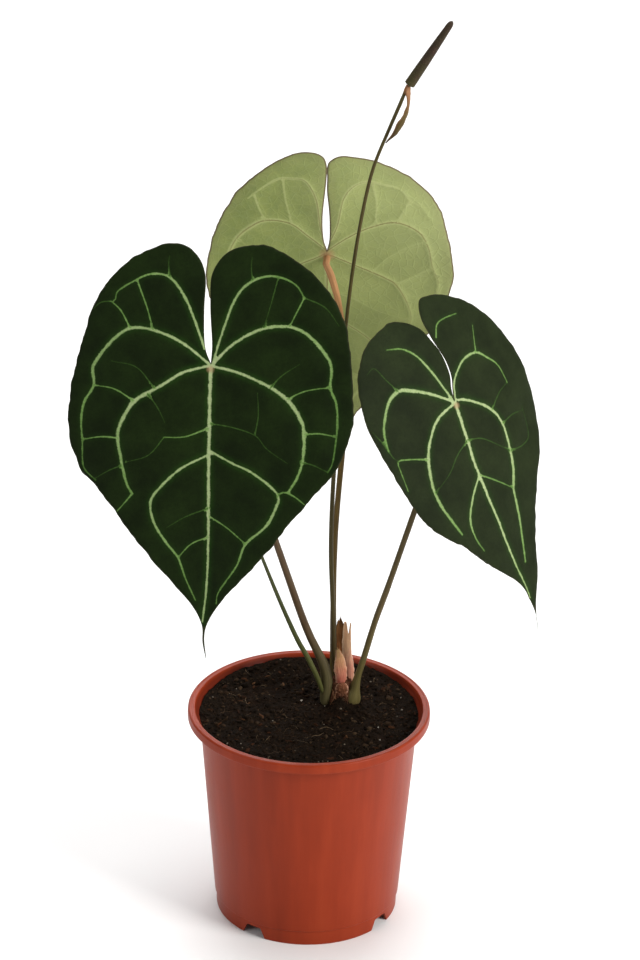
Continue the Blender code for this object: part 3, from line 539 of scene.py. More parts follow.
LEAF_RIGHT = Blade(
    name="leaf_right", seat=(0.0672, -0.0040, 0.2795), facing=45, lean=25, roll=-6, length=124,
    half_width=54.0, fold=0.0, arch=0.0020, droop=0.0009, lobe_droop=0.0020, wave=1.0, wave_length=55,
    right=[(0, 0), (0.03, -0.035), (0.072, -0.09), (0.078, -0.15), (0.062, -0.20), (0.036, -0.27),
           (0.03, -0.34), (0.10, -0.40), (0.20, -0.407), (0.37, -0.385), (0.55, -0.335), (0.72, -0.27),
           (0.87, -0.174), (0.96, -0.05), (1.0, 0.10), (0.97, 0.22), (0.86, 0.33), (0.70, 0.42),
           (0.55, 0.54), (0.42, 0.66), (0.34, 0.78), (0.24, 0.873), (0.19, 0.945), (0.17, 1.0)],
    left=[(0, 0), (-0.02, -0.05), (-0.06, -0.10), (-0.06, -0.19), (-0.03, -0.24), (0.04, -0.31),
          (0.18, -0.363), (0.34, -0.385), (0.55, -0.36), (0.75, -0.31), (0.90, -0.22), (0.96, -0.11),
          (0.94, 0.02), (0.89, 0.16), (0.80, 0.32), (0.66, 0.427), (0.46, 0.52), (0.22, 0.647),
          (0.06, 0.717), (-0.06, 0.77), (-0.14, 0.83), (-0.19, 0.93), (-0.17, 1.0)],
    veins=[
        ("midrib", [(0, 0), (-1, 20), (-1, 38), (4, 80), (9, 105), (9, 122)]),
        ("side", [(-1, -1), (-7, -19), (-11, -28), (-17, -34), (-25, -37)]),
        ("main", [(-1, 0), (-10, -7), (-21, -14), (-29, -17), (-37, -14), (-44, -4), (-46, 6)]),
        ("main", [(-1, 1), (-14, 4), (-22, 11), (-27, 19), (-30, 32), (-28, 45), (-22, 60)]),
        ("side", [(-1, 38), (-9, 46), (-15, 56), (-15, 65), (-12, 73)]),
        ("cross", [(-27, 19), (-36, 15), (-43, 13), (-44, 18), (-44, 28)]),
        ("faint", [(-46, 6), (-45, 10), (-43, 13)]),
        ("faint", [(-29, -17), (-33, -25), (-36, -32), (-41, -31)]),
        ("faint", [(-46, 6), (-48, 0), (-50, -5)]),
        ("faint", [(-1, 20), (-10, 24), (-18, 30), (-29, 35)]),
        ("side", [(1, -1), (5, -9), (15, -15), (25, -15), (31, -10), (36, -4), (38, 6)]),
        ("main", [(1, 0), (8, 3), (20, 12), (25, 22), (24, 36), (22, 45), (18, 53), (17, 61), (15, 74),
                  (12, 89)]),
        ("cross", [(5, -31), (9, -36), (15, -37), (24, -36)]),
        ("cross", [(25, -15), (28, -21), (31, -27)]),
        ("cross", [(-1, 38), (7, 44), (18, 53)]),
        ("faint", [(22, 13), (30, 8), (37, 6)]),
        ("faint", [(26, 22), (34, 21), (42, 22)]),
        ("faint", [(24, 36), (34, 37), (41, 34), (43, 20)]),
        ("faint", [(-1, 20), (8, 23), (17, 30), (24, 36)])])

LEAF_BACK = Blade(
    name="leaf_back", seat=(0.0054, 0.0520, 0.3328), facing=176, lean=14, roll=0, length=112,
    half_width=60.0, fold=0.08, arch=0.0012, droop=0.0010, lobe_droop=0.0005, wave=1.0, wave_length=60,
    right=[(0, 0), (0.03, -0.06), (0.035, -0.18), (0.010, -0.33), (0.0, -0.40), (0.0, -0.455), (0.03, -0.50),
           (0.12, -0.518), (0.27, -0.50), (0.45, -0.44), (0.62, -0.355), (0.75, -0.26), (0.87, -0.125),
           (0.94, 0.0), (0.98, 0.13), (0.97, 0.25), (0.90, 0.37), (0.76, 0.48), (0.56, 0.61),
           (0.34, 0.755), (0.16, 0.87), (0.02, 0.94), (-0.10, 1.0)],
    left=[(0, 0), (0.02, -0.06), (0.02, -0.19), (0.003, -0.31), (0.005, -0.38), (0.005, -0.44), (0.03, -0.478),
          (0.12, -0.505), (0.28, -0.495), (0.47, -0.465), (0.62, -0.42), (0.76, -0.35), (0.88, -0.265),
          (0.95, -0.15), (1.0, -0.03), (1.02, 0.07), (1.01, 0.17), (0.96, 0.29), (0.86, 0.40),
          (0.70, 0.52), (0.50, 0.66), (0.32, 0.79), (0.20, 0.88), (0.13, 0.94), (0.10, 1.0)],
    veins=[
        ("midrib", [(0, 0), (0, 30), (1, 60), (0, 85), (-3, 104), (-6, 111)]),
        ("side", [(0, -1), (3, -13), (5, -30), (10, -41), (17, -42), (24, -41), (33, -34), (38, -29)]),
        ("main", [(0, 0), (9, -8), (18, -15), (30, -16), (38, -11), (44, -4), (48, 6), (49, 17), (45, 28)]),
        ("main", [(0, 1), (6, 5), (13, 9), (24, 17), (32, 27), (35, 38), (33, 48)]),
        ("side", [(0, 38), (11, 44), (21, 53), (25, 62), (20, 74), (12, 86), (4, 97)]),
        ("cross", [(21, -42), (20, -30), (17, -15)]),
        ("cross", [(35, -32), (33, -24), (30, -16)]),
        ("cross", [(27, 20), (36, 16), (48, 10)]),
        ("faint", [(0, 66), (10, 70), (20, 74)]),
        ("faint", [(22, 13), (28, 5), (36, 2), (44, -4)]),
        ("faint", [(0, 24), (12, 27), (22, 34), (34, 38)]),
        ("side", [(0, -2), (-5, -15), (-8, -31), (-13, -39), (-20, -42), (-29, -40), (-35, -38), (-40, -31)]),
        ("main", [(0, 0), (-10, -8), (-20, -14), (-33, -18), (-44, -13), (-49, -4), (-51, 7), (-54, 16),
                  (-53, 27)]),
        ("main", [(-1, 2), (-15, 9), (-29, 16), (-34, 20), (-39, 30), (-41, 39), (-38, 48)]),
        ("side", [(0, 38), (-11, 44), (-22, 53), (-26, 62), (-20, 75), (-12, 86), (-6, 97)]),
        ("cross", [(-40, -31), (-37, -25), (-34, -18)]),
        ("cross", [(-34, 19), (-42, 14), (-51, 8)]),
        ("cross", [(-22, -41), (-24, -29), (-23, -15)]),
        ("faint", [(-40, -31), (-46, -27), (-50, -20)]),
        ("faint", [(-22, 12), (-30, 3), (-40, -4), (-48, -7)]),
        ("faint", [(0, 24), (-12, 28), (-24, 35), (-40, 40)]),
        ("faint", [(0, 66), (-10, 70), (-20, 74)])])


def make_blades():
    under = underside("leaf_underside")
    # Lit and shaded copies of one velvet: the far copy's lighter colours are painted light for the greyer sheen the
    # right blade shows when facing the key light. The near copy is the painted shade.
    near = velvet("leaf_velvet_near", (0.0048, 0.0095, 0.0018), (0.0090, 0.0185, 0.0032), 0.015)
    far = velvet("leaf_velvet_far", (0.0085, 0.0130, 0.0040), (0.0150, 0.0225, 0.0070), 0.04)
    make_blade(LEAF_LEFT, near, under)
    make_blade(LEAF_RIGHT, far, under)
    make_blade(LEAF_BACK, far, under)


# ---- flowers and bracts ------------------------------------------------------------------------------
FLORETS_ROUND = 14
FLORET_SAMPLES = 6           # rings and columns for each floret
FLORET_RELIEF = 0.00013
SPADIX_FULLNESS = 1.15       # widest radius, as a share of the CAD solid's
SPADIX_TAPER = 0.45          # how much of it is lost up to the round end


def make_spadix(node, florets, finish):
    """Tapered spike covered in spiralling lozenge florets, each with a small knob in its middle."""
    centers, _, _, _ = sections(node, 60)
    corners = np.array([v.co for v in frame["nodes"][node].data.vertices])
    way = centers[45] - centers[15]
    way /= np.linalg.norm(way)
    heights = (corners - centers[30]) @ way
    foot, head = (centers[30] + way * reach for reach in (heights.min(), heights.max()))
    axis = head - foot
    apart = np.linalg.norm(corners - centers[30] - np.outer(heights, way), axis=1)
    widest = SPADIX_FULLNESS * float(apart.max())
    around = florets * FLORET_SAMPLES
    length = float(np.linalg.norm(axis))
    rows = max(8, round(length / (math.tau * widest / florets) * 1.15))
    along = rows * FLORET_SAMPLES
    _, sides, others = frames_along(np.array([foot, foot + axis * 0.5, head]))
    side, other = sides[0], others[0]
    spots, uvs, faces = [], [], []
    for j in range(along + 1):
        t = j / along
        radius = widest * (1 - SPADIX_TAPER * t ** 1.6)
        cap = min(1.0, math.sqrt(max(0.0, 1 - ((t - 0.93) / 0.07) ** 2)) if t > 0.93 else 1.0)
        radius *= max(cap, 0.25)
        for k in range(around):
            u = k / around
            v = t * rows + 2 * u
            one, two = math.sin(math.pi * (florets * u + v)), math.sin(math.pi * (florets * u - v))
            pillow = (abs(one) * abs(two)) ** 0.45
            knob = max(0.0, abs(one * two) - 0.72) * 1.6
            lift = FLORET_RELIEF * (pillow - 0.6 + knob) * min(1.0, radius / 0.0012)
            angle = math.tau * u
            out = side * math.cos(angle) + other * math.sin(angle)
            spots.append(foot + axis * t + out * (radius + lift))
    for j in range(along):
        for k in range(around):
            n = (k + 1) % around
            faces.append((j * around + k, j * around + n, (j + 1) * around + n, (j + 1) * around + k))
            for a, b in ((k, j), (k + 1, j), (k + 1, j + 1), (k, j + 1)):
                uvs.append((a / around, b / along))
    for ring, turn in ((0, -1), (along, 1)):
        faces.append(tuple(ring * around + k for k in range(around))[::turn])
        uvs += [(0.0, ring / along)] * around
    mesh = mesh_of(node + "_spike", spots, faces, uvs)
    share = np.repeat(np.arange(along + 1) / along, around)
    set_attribute(mesh, "along", share)
    piece(node + "_spike", mesh, [finish], "spadix", node)


def spadix_finish():
    """Dark brown-olive florets, greener and lighter towards the foot, with purple patches."""
    s = Shader("spadix_skin", Specular_IOR_Level=0.12)
    foot = s.spread(s.attribute("along"), 0.02, 0.45, 1.0, 0.0)
    color = s.mix(foot, (0.034, 0.024, 0.014), (0.046, 0.040, 0.014))
    color = s.mix(s.spread(s.noise(240, 4), 0.48, 0.70, 0.0, 0.7), color, (0.052, 0.024, 0.020))
    color = s.mix(s.spread(s.cells(1300), 0.10, 0.40, 0.55, 0.0), color, (0.100, 0.080, 0.038))
    color = s.mix(s.spread(s.noise(1800, 4, 0.7), 0.5, 0.75, 0.0, 0.6), color, (0.020, 0.015, 0.010))
    return s.finish(color, s.spread(s.noise(900), 0.3, 0.7, 0.5, 0.7), s.bump(s.noise(2800, 4), 0.0001, 0.6))


def strip(name, node, columns, thickness, curl, waves, ribs, facing, seed, crest=None, widths=((0, 1), (1, 1))):
    """Thin hollow bract along a CAD node's level cuts, ribbed, wavy and uneven.

    crest gives the share of the length that each place across the bract reaches, from -1 to 1; widths are
    (share of the length, factor on the half width).
    """
    centers, _, wide, ways = sections(node, 60, 0.0003)
    path = smoothed(centers, 4)
    half = smoothed(wide, 2)
    forward = np.gradient(path, axis=0)
    forward /= np.linalg.norm(forward, axis=1)[:, None]
    across = ways - forward * (ways * forward).sum(1)[:, None]
    across /= np.linalg.norm(across, axis=1)[:, None]
    back = np.cross(forward, across)
    back *= np.where((back * facing).sum(1) < 0, -1, 1)[:, None]
    marks, factors = zip(*widths)
    rows = len(path)
    spots, share, aside = [[], []], [], []
    for i in range(rows):
        for k in range(columns + 1):
            v = 2 * k / columns - 1
            t = i / (rows - 1) * (crest(v) if crest else 1.0)
            center, size, side, out = (row_at(values, t) for values in (path, half, across, back))
            size = float(size) * np.interp(t, marks, factors)
            ripple = waves * noise.noise((v * 1.5 + seed, t * 6, seed)) * (0.4 + abs(v))
            rib = ribs * math.sin(v * 22 + 3 * noise.noise((v * 2, t * 3, seed)))
            fray = 1 + 0.10 * noise.noise((t * 14, seed, v))
            spot = center + side * size * v * fray + out * (ripple + rib - curl * size * v * v)
            edge = 1 - 0.6 * abs(v) ** 6
            spots[0].append(spot + out * thickness / 2 * edge)
            spots[1].append(spot - out * thickness / 2 * edge)
            share.append(t)
            aside.append(v)
    total = rows * (columns + 1)
    faces = []
    for i in range(rows - 1):
        for k in range(columns):
            a, b = i * (columns + 1) + k, (i + 1) * (columns + 1) + k
            faces.append((a, a + 1, b + 1, b))
            faces.append((total + a, total + b, total + b + 1, total + a + 1))
    loop = list(range(columns + 1))
    loop += [i * (columns + 1) + columns for i in range(1, rows)]
    loop += [(rows - 1) * (columns + 1) + k for k in range(columns - 1, -1, -1)]
    loop += [i * (columns + 1) for i in range(rows - 2, 0, -1)]
    faces += [(a, total + a, total + b, b) for a, b in zip(loop, loop[1:] + loop[:1])]
    uvs = [(aside[c % total] * 0.003, share[c % total] * 0.03) for face in faces for c in face]
    mesh = mesh_of(name, spots[0] + spots[1], faces, uvs)
    turned_out = bmesh.new()
    turned_out.from_mesh(mesh)
    bmesh.ops.recalc_face_normals(turned_out, faces=turned_out.faces)
    turned_out.to_mesh(mesh)
    turned_out.free()
    set_attribute(mesh, "along", share * 2)
    set_attribute(mesh, "aside", aside * 2)
    return mesh


def row_at(values, t):
    """The values' row at this share of their length, in between two rows or past the last if need be."""
    place = max(t, 0) * (len(values) - 1)
    low = min(int(place), len(values) - 2)
    return values[low] + (values[low + 1] - values[low]) * (place - low)


def bract_finish(name, stops, edge, fibre=0.6, roughness=0.6, through=0.0):
    """Papery or waxy bract: stops give its colour from foot to tip, edge the colour along its margins."""
    s = Shader(name, Specular_IOR_Level=0.12, Subsurface_Weight=through)
    s.surface.inputs["Subsurface Radius"].default_value = (0.0012, 0.0006, 0.0004)
    fibres = s.noise(2200, 5, 0.7, s.grain(1, 0.06, 1))
    length = s.add(s.attribute("along"), s.spread(s.noise(260, 4), 0.3, 0.7, -0.07, 0.07))
    color = s.ramp(length, *stops)
    side = s.math("ABSOLUTE", s.attribute("aside"))
    color = s.mix(s.spread(side, 0.72, 0.98, 0.0, 0.8), color, edge)
    shade = s.node("Mix", {0: s.spread(fibres, 0.42, 0.64, fibre, 0.0), 6: color, 7: (0.32, 0.25, 0.20, 1)},
                   data_type="RGBA", blend_type="MULTIPLY").outputs[2]
    blotch = s.mix(s.spread(s.noise(600, 5, 0.7), 0.55, 0.75, 0.0, 0.5), shade, [c * 0.5 for c in stops[1][1]])
    ridges = s.bump(fibres, 0.00018, 0.7)
    return s.finish(blotch, s.spread(fibres, 0.3, 0.7, roughness, roughness + 0.15), ridges)


def make_flowers():
    finish = spadix_finish()
    make_spadix("spadix", FLORETS_ROUND, finish)
    make_spadix("young_spadix", 10, finish)
    waxy = bract_finish("spathe_skin", ((0.0, (0.034, 0.018, 0.010)), (0.30, (0.090, 0.062, 0.020)),
                                        (0.55, (0.125, 0.085, 0.030)), (0.90, (0.330, 0.165, 0.080))),
                        (0.22, 0.11, 0.055), 0.35, 0.42, 0.1)
    mesh = strip("spathe_strap", "spathe", 16, 0.0004, 0.55, 0.0003, 0.00004, (1, -0.5, 0), 3,
                 lambda v: 1.10, ((0, 0.3), (0.14, 0.6), (0.32, 1.0), (0.5, 0.85), (0.72, 0.5), (0.88, 0.75), (1, 1.7)))
    piece("spathe_strap", mesh, [waxy], "spathe", "spathe")
    young = bract_finish("young_spathe_skin", ((0.0, (0.10, 0.11, 0.04)), (0.5, (0.12, 0.13, 0.05)),
                                               (1.0, (0.14, 0.10, 0.05))), (0.15, 0.10, 0.05), 0.35, 0.42, 0.1)
    mesh = strip("young_spathe_strap", "young_spathe", 12, 0.0003, 0.5, 0.0002, 0.00003, (-1, 0, 0), 4)
    piece("young_spathe_strap", mesh, [young], "spathe", "young_spathe")


# ---- crown: cataphylls and rhizome --------------------------------------------------------------------
def make_cataphylls():
    brown = bract_finish("cataphyll_brown", ((0.0, (0.230, 0.080, 0.028)), (0.45, (0.330, 0.135, 0.045)),
                                             (0.80, (0.270, 0.130, 0.048)), (1.0, (0.200, 0.100, 0.040))),
                         (0.55, 0.34, 0.17), 0.75)
    mesh = strip("cataphyll_brown_husk", "cataphyll_brown", 18, 0.00022, 0.45, 0.0006, 0.00007, (0.2, 1, 0.1), 11,
                 lambda v: 1 - 0.10 * abs(v) - 0.03 * math.sin(9 * v), ((0, 1.1), (0.4, 1.35), (0.7, 1.6), (0.9, 1.7), (1, 1.2)))
    piece("cataphyll_brown_husk", mesh, [brown], "cataphyll", "cataphyll_brown")

    tan = bract_finish("cataphyll_tan", ((0.0, (0.52, 0.27, 0.17)), (0.25, (0.56, 0.24, 0.17)),
                                         (0.60, (0.66, 0.40, 0.24)), (1.0, (0.50, 0.29, 0.16))),
                       (0.78, 0.56, 0.38), 0.45, 0.5, 0.15)
    mesh = strip("cataphyll_tan_husk", "cataphyll_tan", 22, 0.00024, 0.50, 0.0007, 0.00006, (0.5, -0.85, 0.1), 12,
                 lambda v: 1 - 0.20 * math.exp(-((v - 0.1) / 0.30) ** 2) - 0.05 * max(0, v),
                 ((0, 1.55), (0.15, 1.3), (0.4, 1.3), (0.8, 1.45), (1, 1.6)))
    piece("cataphyll_tan_husk", mesh, [tan], "cataphyll", "cataphyll_tan")

    pink = bract_finish("cataphyll_pink", ((0.0, (0.46, 0.12, 0.085)), (0.35, (0.56, 0.22, 0.14)),
                                           (0.70, (0.48, 0.26, 0.13)), (1.0, (0.26, 0.17, 0.070))),
                        (0.70, 0.42, 0.28), 0.5, 0.5, 0.15)
    mesh = strip("cataphyll_pink_husk", "cataphyll_pink", 20, 0.00024, 0.55, 0.0004, 0.00006, (0.35, -1, 0.1), 13,
                 lambda v: 1 - 0.05 * abs(v) - 0.02 * math.sin(11 * v), ((0, 3.4), (0.12, 2.7), (0.3, 1.75), (0.5, 1.25), (1, 1.1)))
    piece("cataphyll_pink_husk", mesh, [pink], "cataphyll", "cataphyll_pink")

    base = bract_finish("cataphyll_base", ((0.0, (0.22, 0.095, 0.054)), (0.4, (0.18, 0.072, 0.034)),
                                           (1.0, (0.34, 0.13, 0.070))), (0.62, 0.36, 0.24), 0.8)
    mesh = strip("cataphyll_base_husk", "cataphyll_base", 22, 0.00026, 0.45, 0.0007, 0.00012, (0.05, -1, 0.1), 14,
                 lambda v: 0.94 + 0.06 * math.sin(13 * v), ((0, 1.0), (0.5, 1.05), (1, 0.95)))
    piece("cataphyll_base_husk", mesh, [base], "cataphyll", "cataphyll_base")


BARK_ROUND = 96
BARK_RINGS = 84
BARK_SEED = 21


def make_rhizome():
    """Lumpy stump with leaf scars round it and a coat of old fibres down its sides."""
    low, high = (Vector(c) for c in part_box("rhizome"))
    middle = (low + high) / 2
    radius = (high.x - low.x) / 2
    spots = []
    for i in range(BARK_RINGS + 1):
        t = i / BARK_RINGS
        size = np.interp(t, (0, 0.06, 0.4, 0.75, 0.93, 1), (0.72, 0.95, 0.98, 0.86, 0.74, 0.45))
        z = low.z + (high.z - low.z) * t
        scar = abs((t * 7.3) % 1 - 0.5) * 2
        for k in range(BARK_ROUND):
            angle = math.tau * k / BARK_ROUND
            out = Vector((math.cos(angle), math.sin(angle), 0))
            lumps = noise.fractal(out * 1.8 + Vector((0, 0, t * 4)), 0.8, 2.0, 4)
            fine = noise.noise(Vector((out.x * 16, out.y * 16, t * 16)))
            reach = radius * size * (1 + 0.07 * lumps + 0.025 * fine) - 0.00055 * scar ** 6
            drop = 0.0008 * noise.noise(out * 2.0) * min(1, t * 4)
            spots.append(Vector((middle.x, middle.y, z + drop)) + out * reach)
    faces, uvs = [], []
    for i in range(BARK_RINGS):
        for k in range(BARK_ROUND):
            n = (k + 1) % BARK_ROUND
            a, b = i * BARK_ROUND, (i + 1) * BARK_ROUND
            faces.append((a + k, a + n, b + n, b + k))
            for u, v in ((k, i), (k + 1, i), (k + 1, i + 1), (k, i + 1)):
                uvs.append((u / BARK_ROUND * math.tau * radius, v / BARK_RINGS * (high.z - low.z)))
    for ring, turn in ((0, -1), (BARK_RINGS, 1)):
        faces.append(tuple(ring * BARK_ROUND + k for k in range(BARK_ROUND))[::turn])
        uvs += [(0.0, 0.0)] * BARK_ROUND
    mesh = mesh_of("rhizome_bark", spots, faces, uvs)
    s = Shader("rhizome_bark", Specular_IOR_Level=0.06)
    fibres = s.noise(1500, 5, 0.7, s.grain(1, 0.10, 1))
    color = s.ramp(fibres, (0.25, (0.020, 0.009, 0.006)), (0.50, (0.078, 0.030, 0.016)),
                   (0.72, (0.190, 0.086, 0.042)))
    color = s.mix(s.spread(s.noise(260, 4), 0.50, 0.70, 0.0, 0.7), color, (0.105, 0.028, 0.018))
    rough = s.bump(s.noise(900, 5, 0.75), 0.0005, 0.8)
    piece("rhizome_bark", mesh, [s.finish(color, s.spread(fibres, 0.3, 0.7, 0.75, 0.95),
                                          s.bump(fibres, 0.0004, 0.8, rough))], "rhizome_bark", "rhizome")

    rng = random.Random(BARK_SEED)
    strands = []
    for _ in range(110):
        angle = rng.uniform(0, math.tau)
        start = rng.uniform(0.60, 0.95)
        length = rng.uniform(0.15, 0.42)
        out = Vector((math.cos(angle), math.sin(angle), 0))
        aside = Vector((-out.y, out.x, 0)) * rng.uniform(-0.35, 0.35)
        flare = rng.uniform(0.0, 0.5) * rng.random()
        curve = []
        for share in np.linspace(0, 1, 6):
            t = start - length * share
            size = np.interp(t, (0, 0.4, 0.75, 1), (0.98, 0.98, 0.86, 0.5)) + 0.05 + flare * share
            z = low.z + (high.z - low.z) * t
            curve.append(Vector((middle.x, middle.y, z)) + (out + aside * share) * radius * size)
        strands.append((curve, rng.uniform(0.00007, 0.00020)))
    fibre_mesh = strand_mesh("rhizome_fibres", strands, rng)
    s = Shader("old_fibres", Specular_IOR_Level=0.08)
    color = s.ramp(s.attribute("shade"), (0.0, (0.030, 0.011, 0.006)), (0.50, (0.095, 0.040, 0.019)),
                   (0.84, (0.210, 0.100, 0.050)), (1.0, (0.42, 0.24, 0.14)))
    color = s.mix(s.spread(s.noise(1800), 0.45, 0.7, 0.0, 0.5), color, (0.07, 0.03, 0.015))
    piece("rhizome_fibres", fibre_mesh, [s.finish(color, s.spread(s.noise(900), 0.3, 0.7, 0.7, 0.9),
                                                  s.bump(s.noise(3500), 0.00005, 0.6))],
          "rhizome_bark", "rhizome")


def strand_mesh(name, strands, rng, sides=5):
    """Many thin closed strands in one mesh. Each is (points, radius), tapered at both ends."""
    spots, faces, shades = [], [], []
    for curve, radius in strands:
        path = spline([tuple(p) for p in curve], 3)
        _, across, other = frames_along(path, (rng.uniform(-1, 1), rng.uniform(-1, 1), 0.3))
        start, shade = len(spots), rng.random()
        for i, center in enumerate(path):
            taper = 0.35 + 0.65 * math.sin(math.pi * (0.08 + 0.84 * i / (len(path) - 1)))
            for k in range(sides):
                angle = math.tau * k / sides
                way = across[i] * math.cos(angle) + other[i] * math.sin(angle)
                spots.append(center + way * radius * taper)
        for i in range(len(path) - 1):
            for k in range(sides):
                n = (k + 1) % sides
                a = start + i * sides
                faces.append((a + k, a + n, a + sides + n, a + sides + k))
        faces.append(tuple(start + k for k in range(sides))[::-1])
        faces.append(tuple(len(spots) - sides + k for k in range(sides)))
        shades += [shade] * (len(spots) - start)
    mesh = mesh_of(name, spots, faces)
    set_attribute(mesh, "shade", shades)
    return mesh


# ---- potting mix --------------------------------------------------------------------------------------
MIX_SEED = 9
MIX_RINGS = 120
MIX_ROUND = 440
MIX_SPREAD = 0.0019          # how much further than the CAD solid it reaches, up to the flared lip
BACK_RISE = 0.0044           # how much higher the mix lies at the back
MOUND = 0.0048               # height of the crumbs piled against the rhizome
MOUND_SPREAD = 0.0040
MIX_NECK = 0.0040            # depth under its top at which it meets the pot's plain wall
MIX_SLACK = 0.0004
MIX_FOOT = 0.85              # its foot's share of its top's radius
MIX_HEAPS = ((11.0, 0.85), (5.0, 0.60), (2.2, 0.50), (1.0, 0.32))     # (width, height) of its unevenness, mm


def mix_height(x, y):
    """Height of the mix's uneven top above its level, in metres."""
    lift = 0.0
    for width, height in MIX_HEAPS:
        lift += height * noise.noise((x / (width * MM), y / (width * MM), width))
    lift += 0.9 * max(0.0, noise.noise((x / 0.0016, y / 0.0016, 7.7)) - 0.25)
    return lift * MM


def lumps(name, rng, places, sizes, squash, jagged, smooth):
    """Many small irregular bodies in one mesh, half sunk where they lie."""
    ball = bmesh.new()
    bmesh.ops.create_icosphere(ball, subdivisions=2, radius=1)
    base = np.array([v.co for v in ball.verts])
    net = np.array([[v.index for v in f.verts] for f in ball.faces])
    ball.free()
    spots, faces, shades = [], [], []
    for at, size in zip(places, sizes):
        stretch = np.array([1, rng.uniform(*squash[0]), rng.uniform(*squash[1])])
        origin = rng.uniform(0, 99)
        bulge = np.array([1 + jagged * noise.noise(Vector(v) * 1.3 + Vector((origin, 0, 0)))
                          + 0.5 * jagged * noise.noise(Vector(v) * 3.1 + Vector((0, origin, 0))) for v in base])
        turn = np.array(Matrix.Rotation(rng.uniform(0, math.tau), 3, "Z")
                        @ Matrix.Rotation(rng.uniform(-0.6, 0.6), 3, "X"))
        shape = base * bulge[:, None] * stretch * size @ turn.T
        faces.append(net + len(base) * len(spots))
        spots.append(shape + np.array(at))
        shades += [rng.random()] * len(base)
    mesh = mesh_of(name, np.vstack(spots), np.vstack(faces), smooth=smooth)
    set_attribute(mesh, "shade", shades)
    return mesh


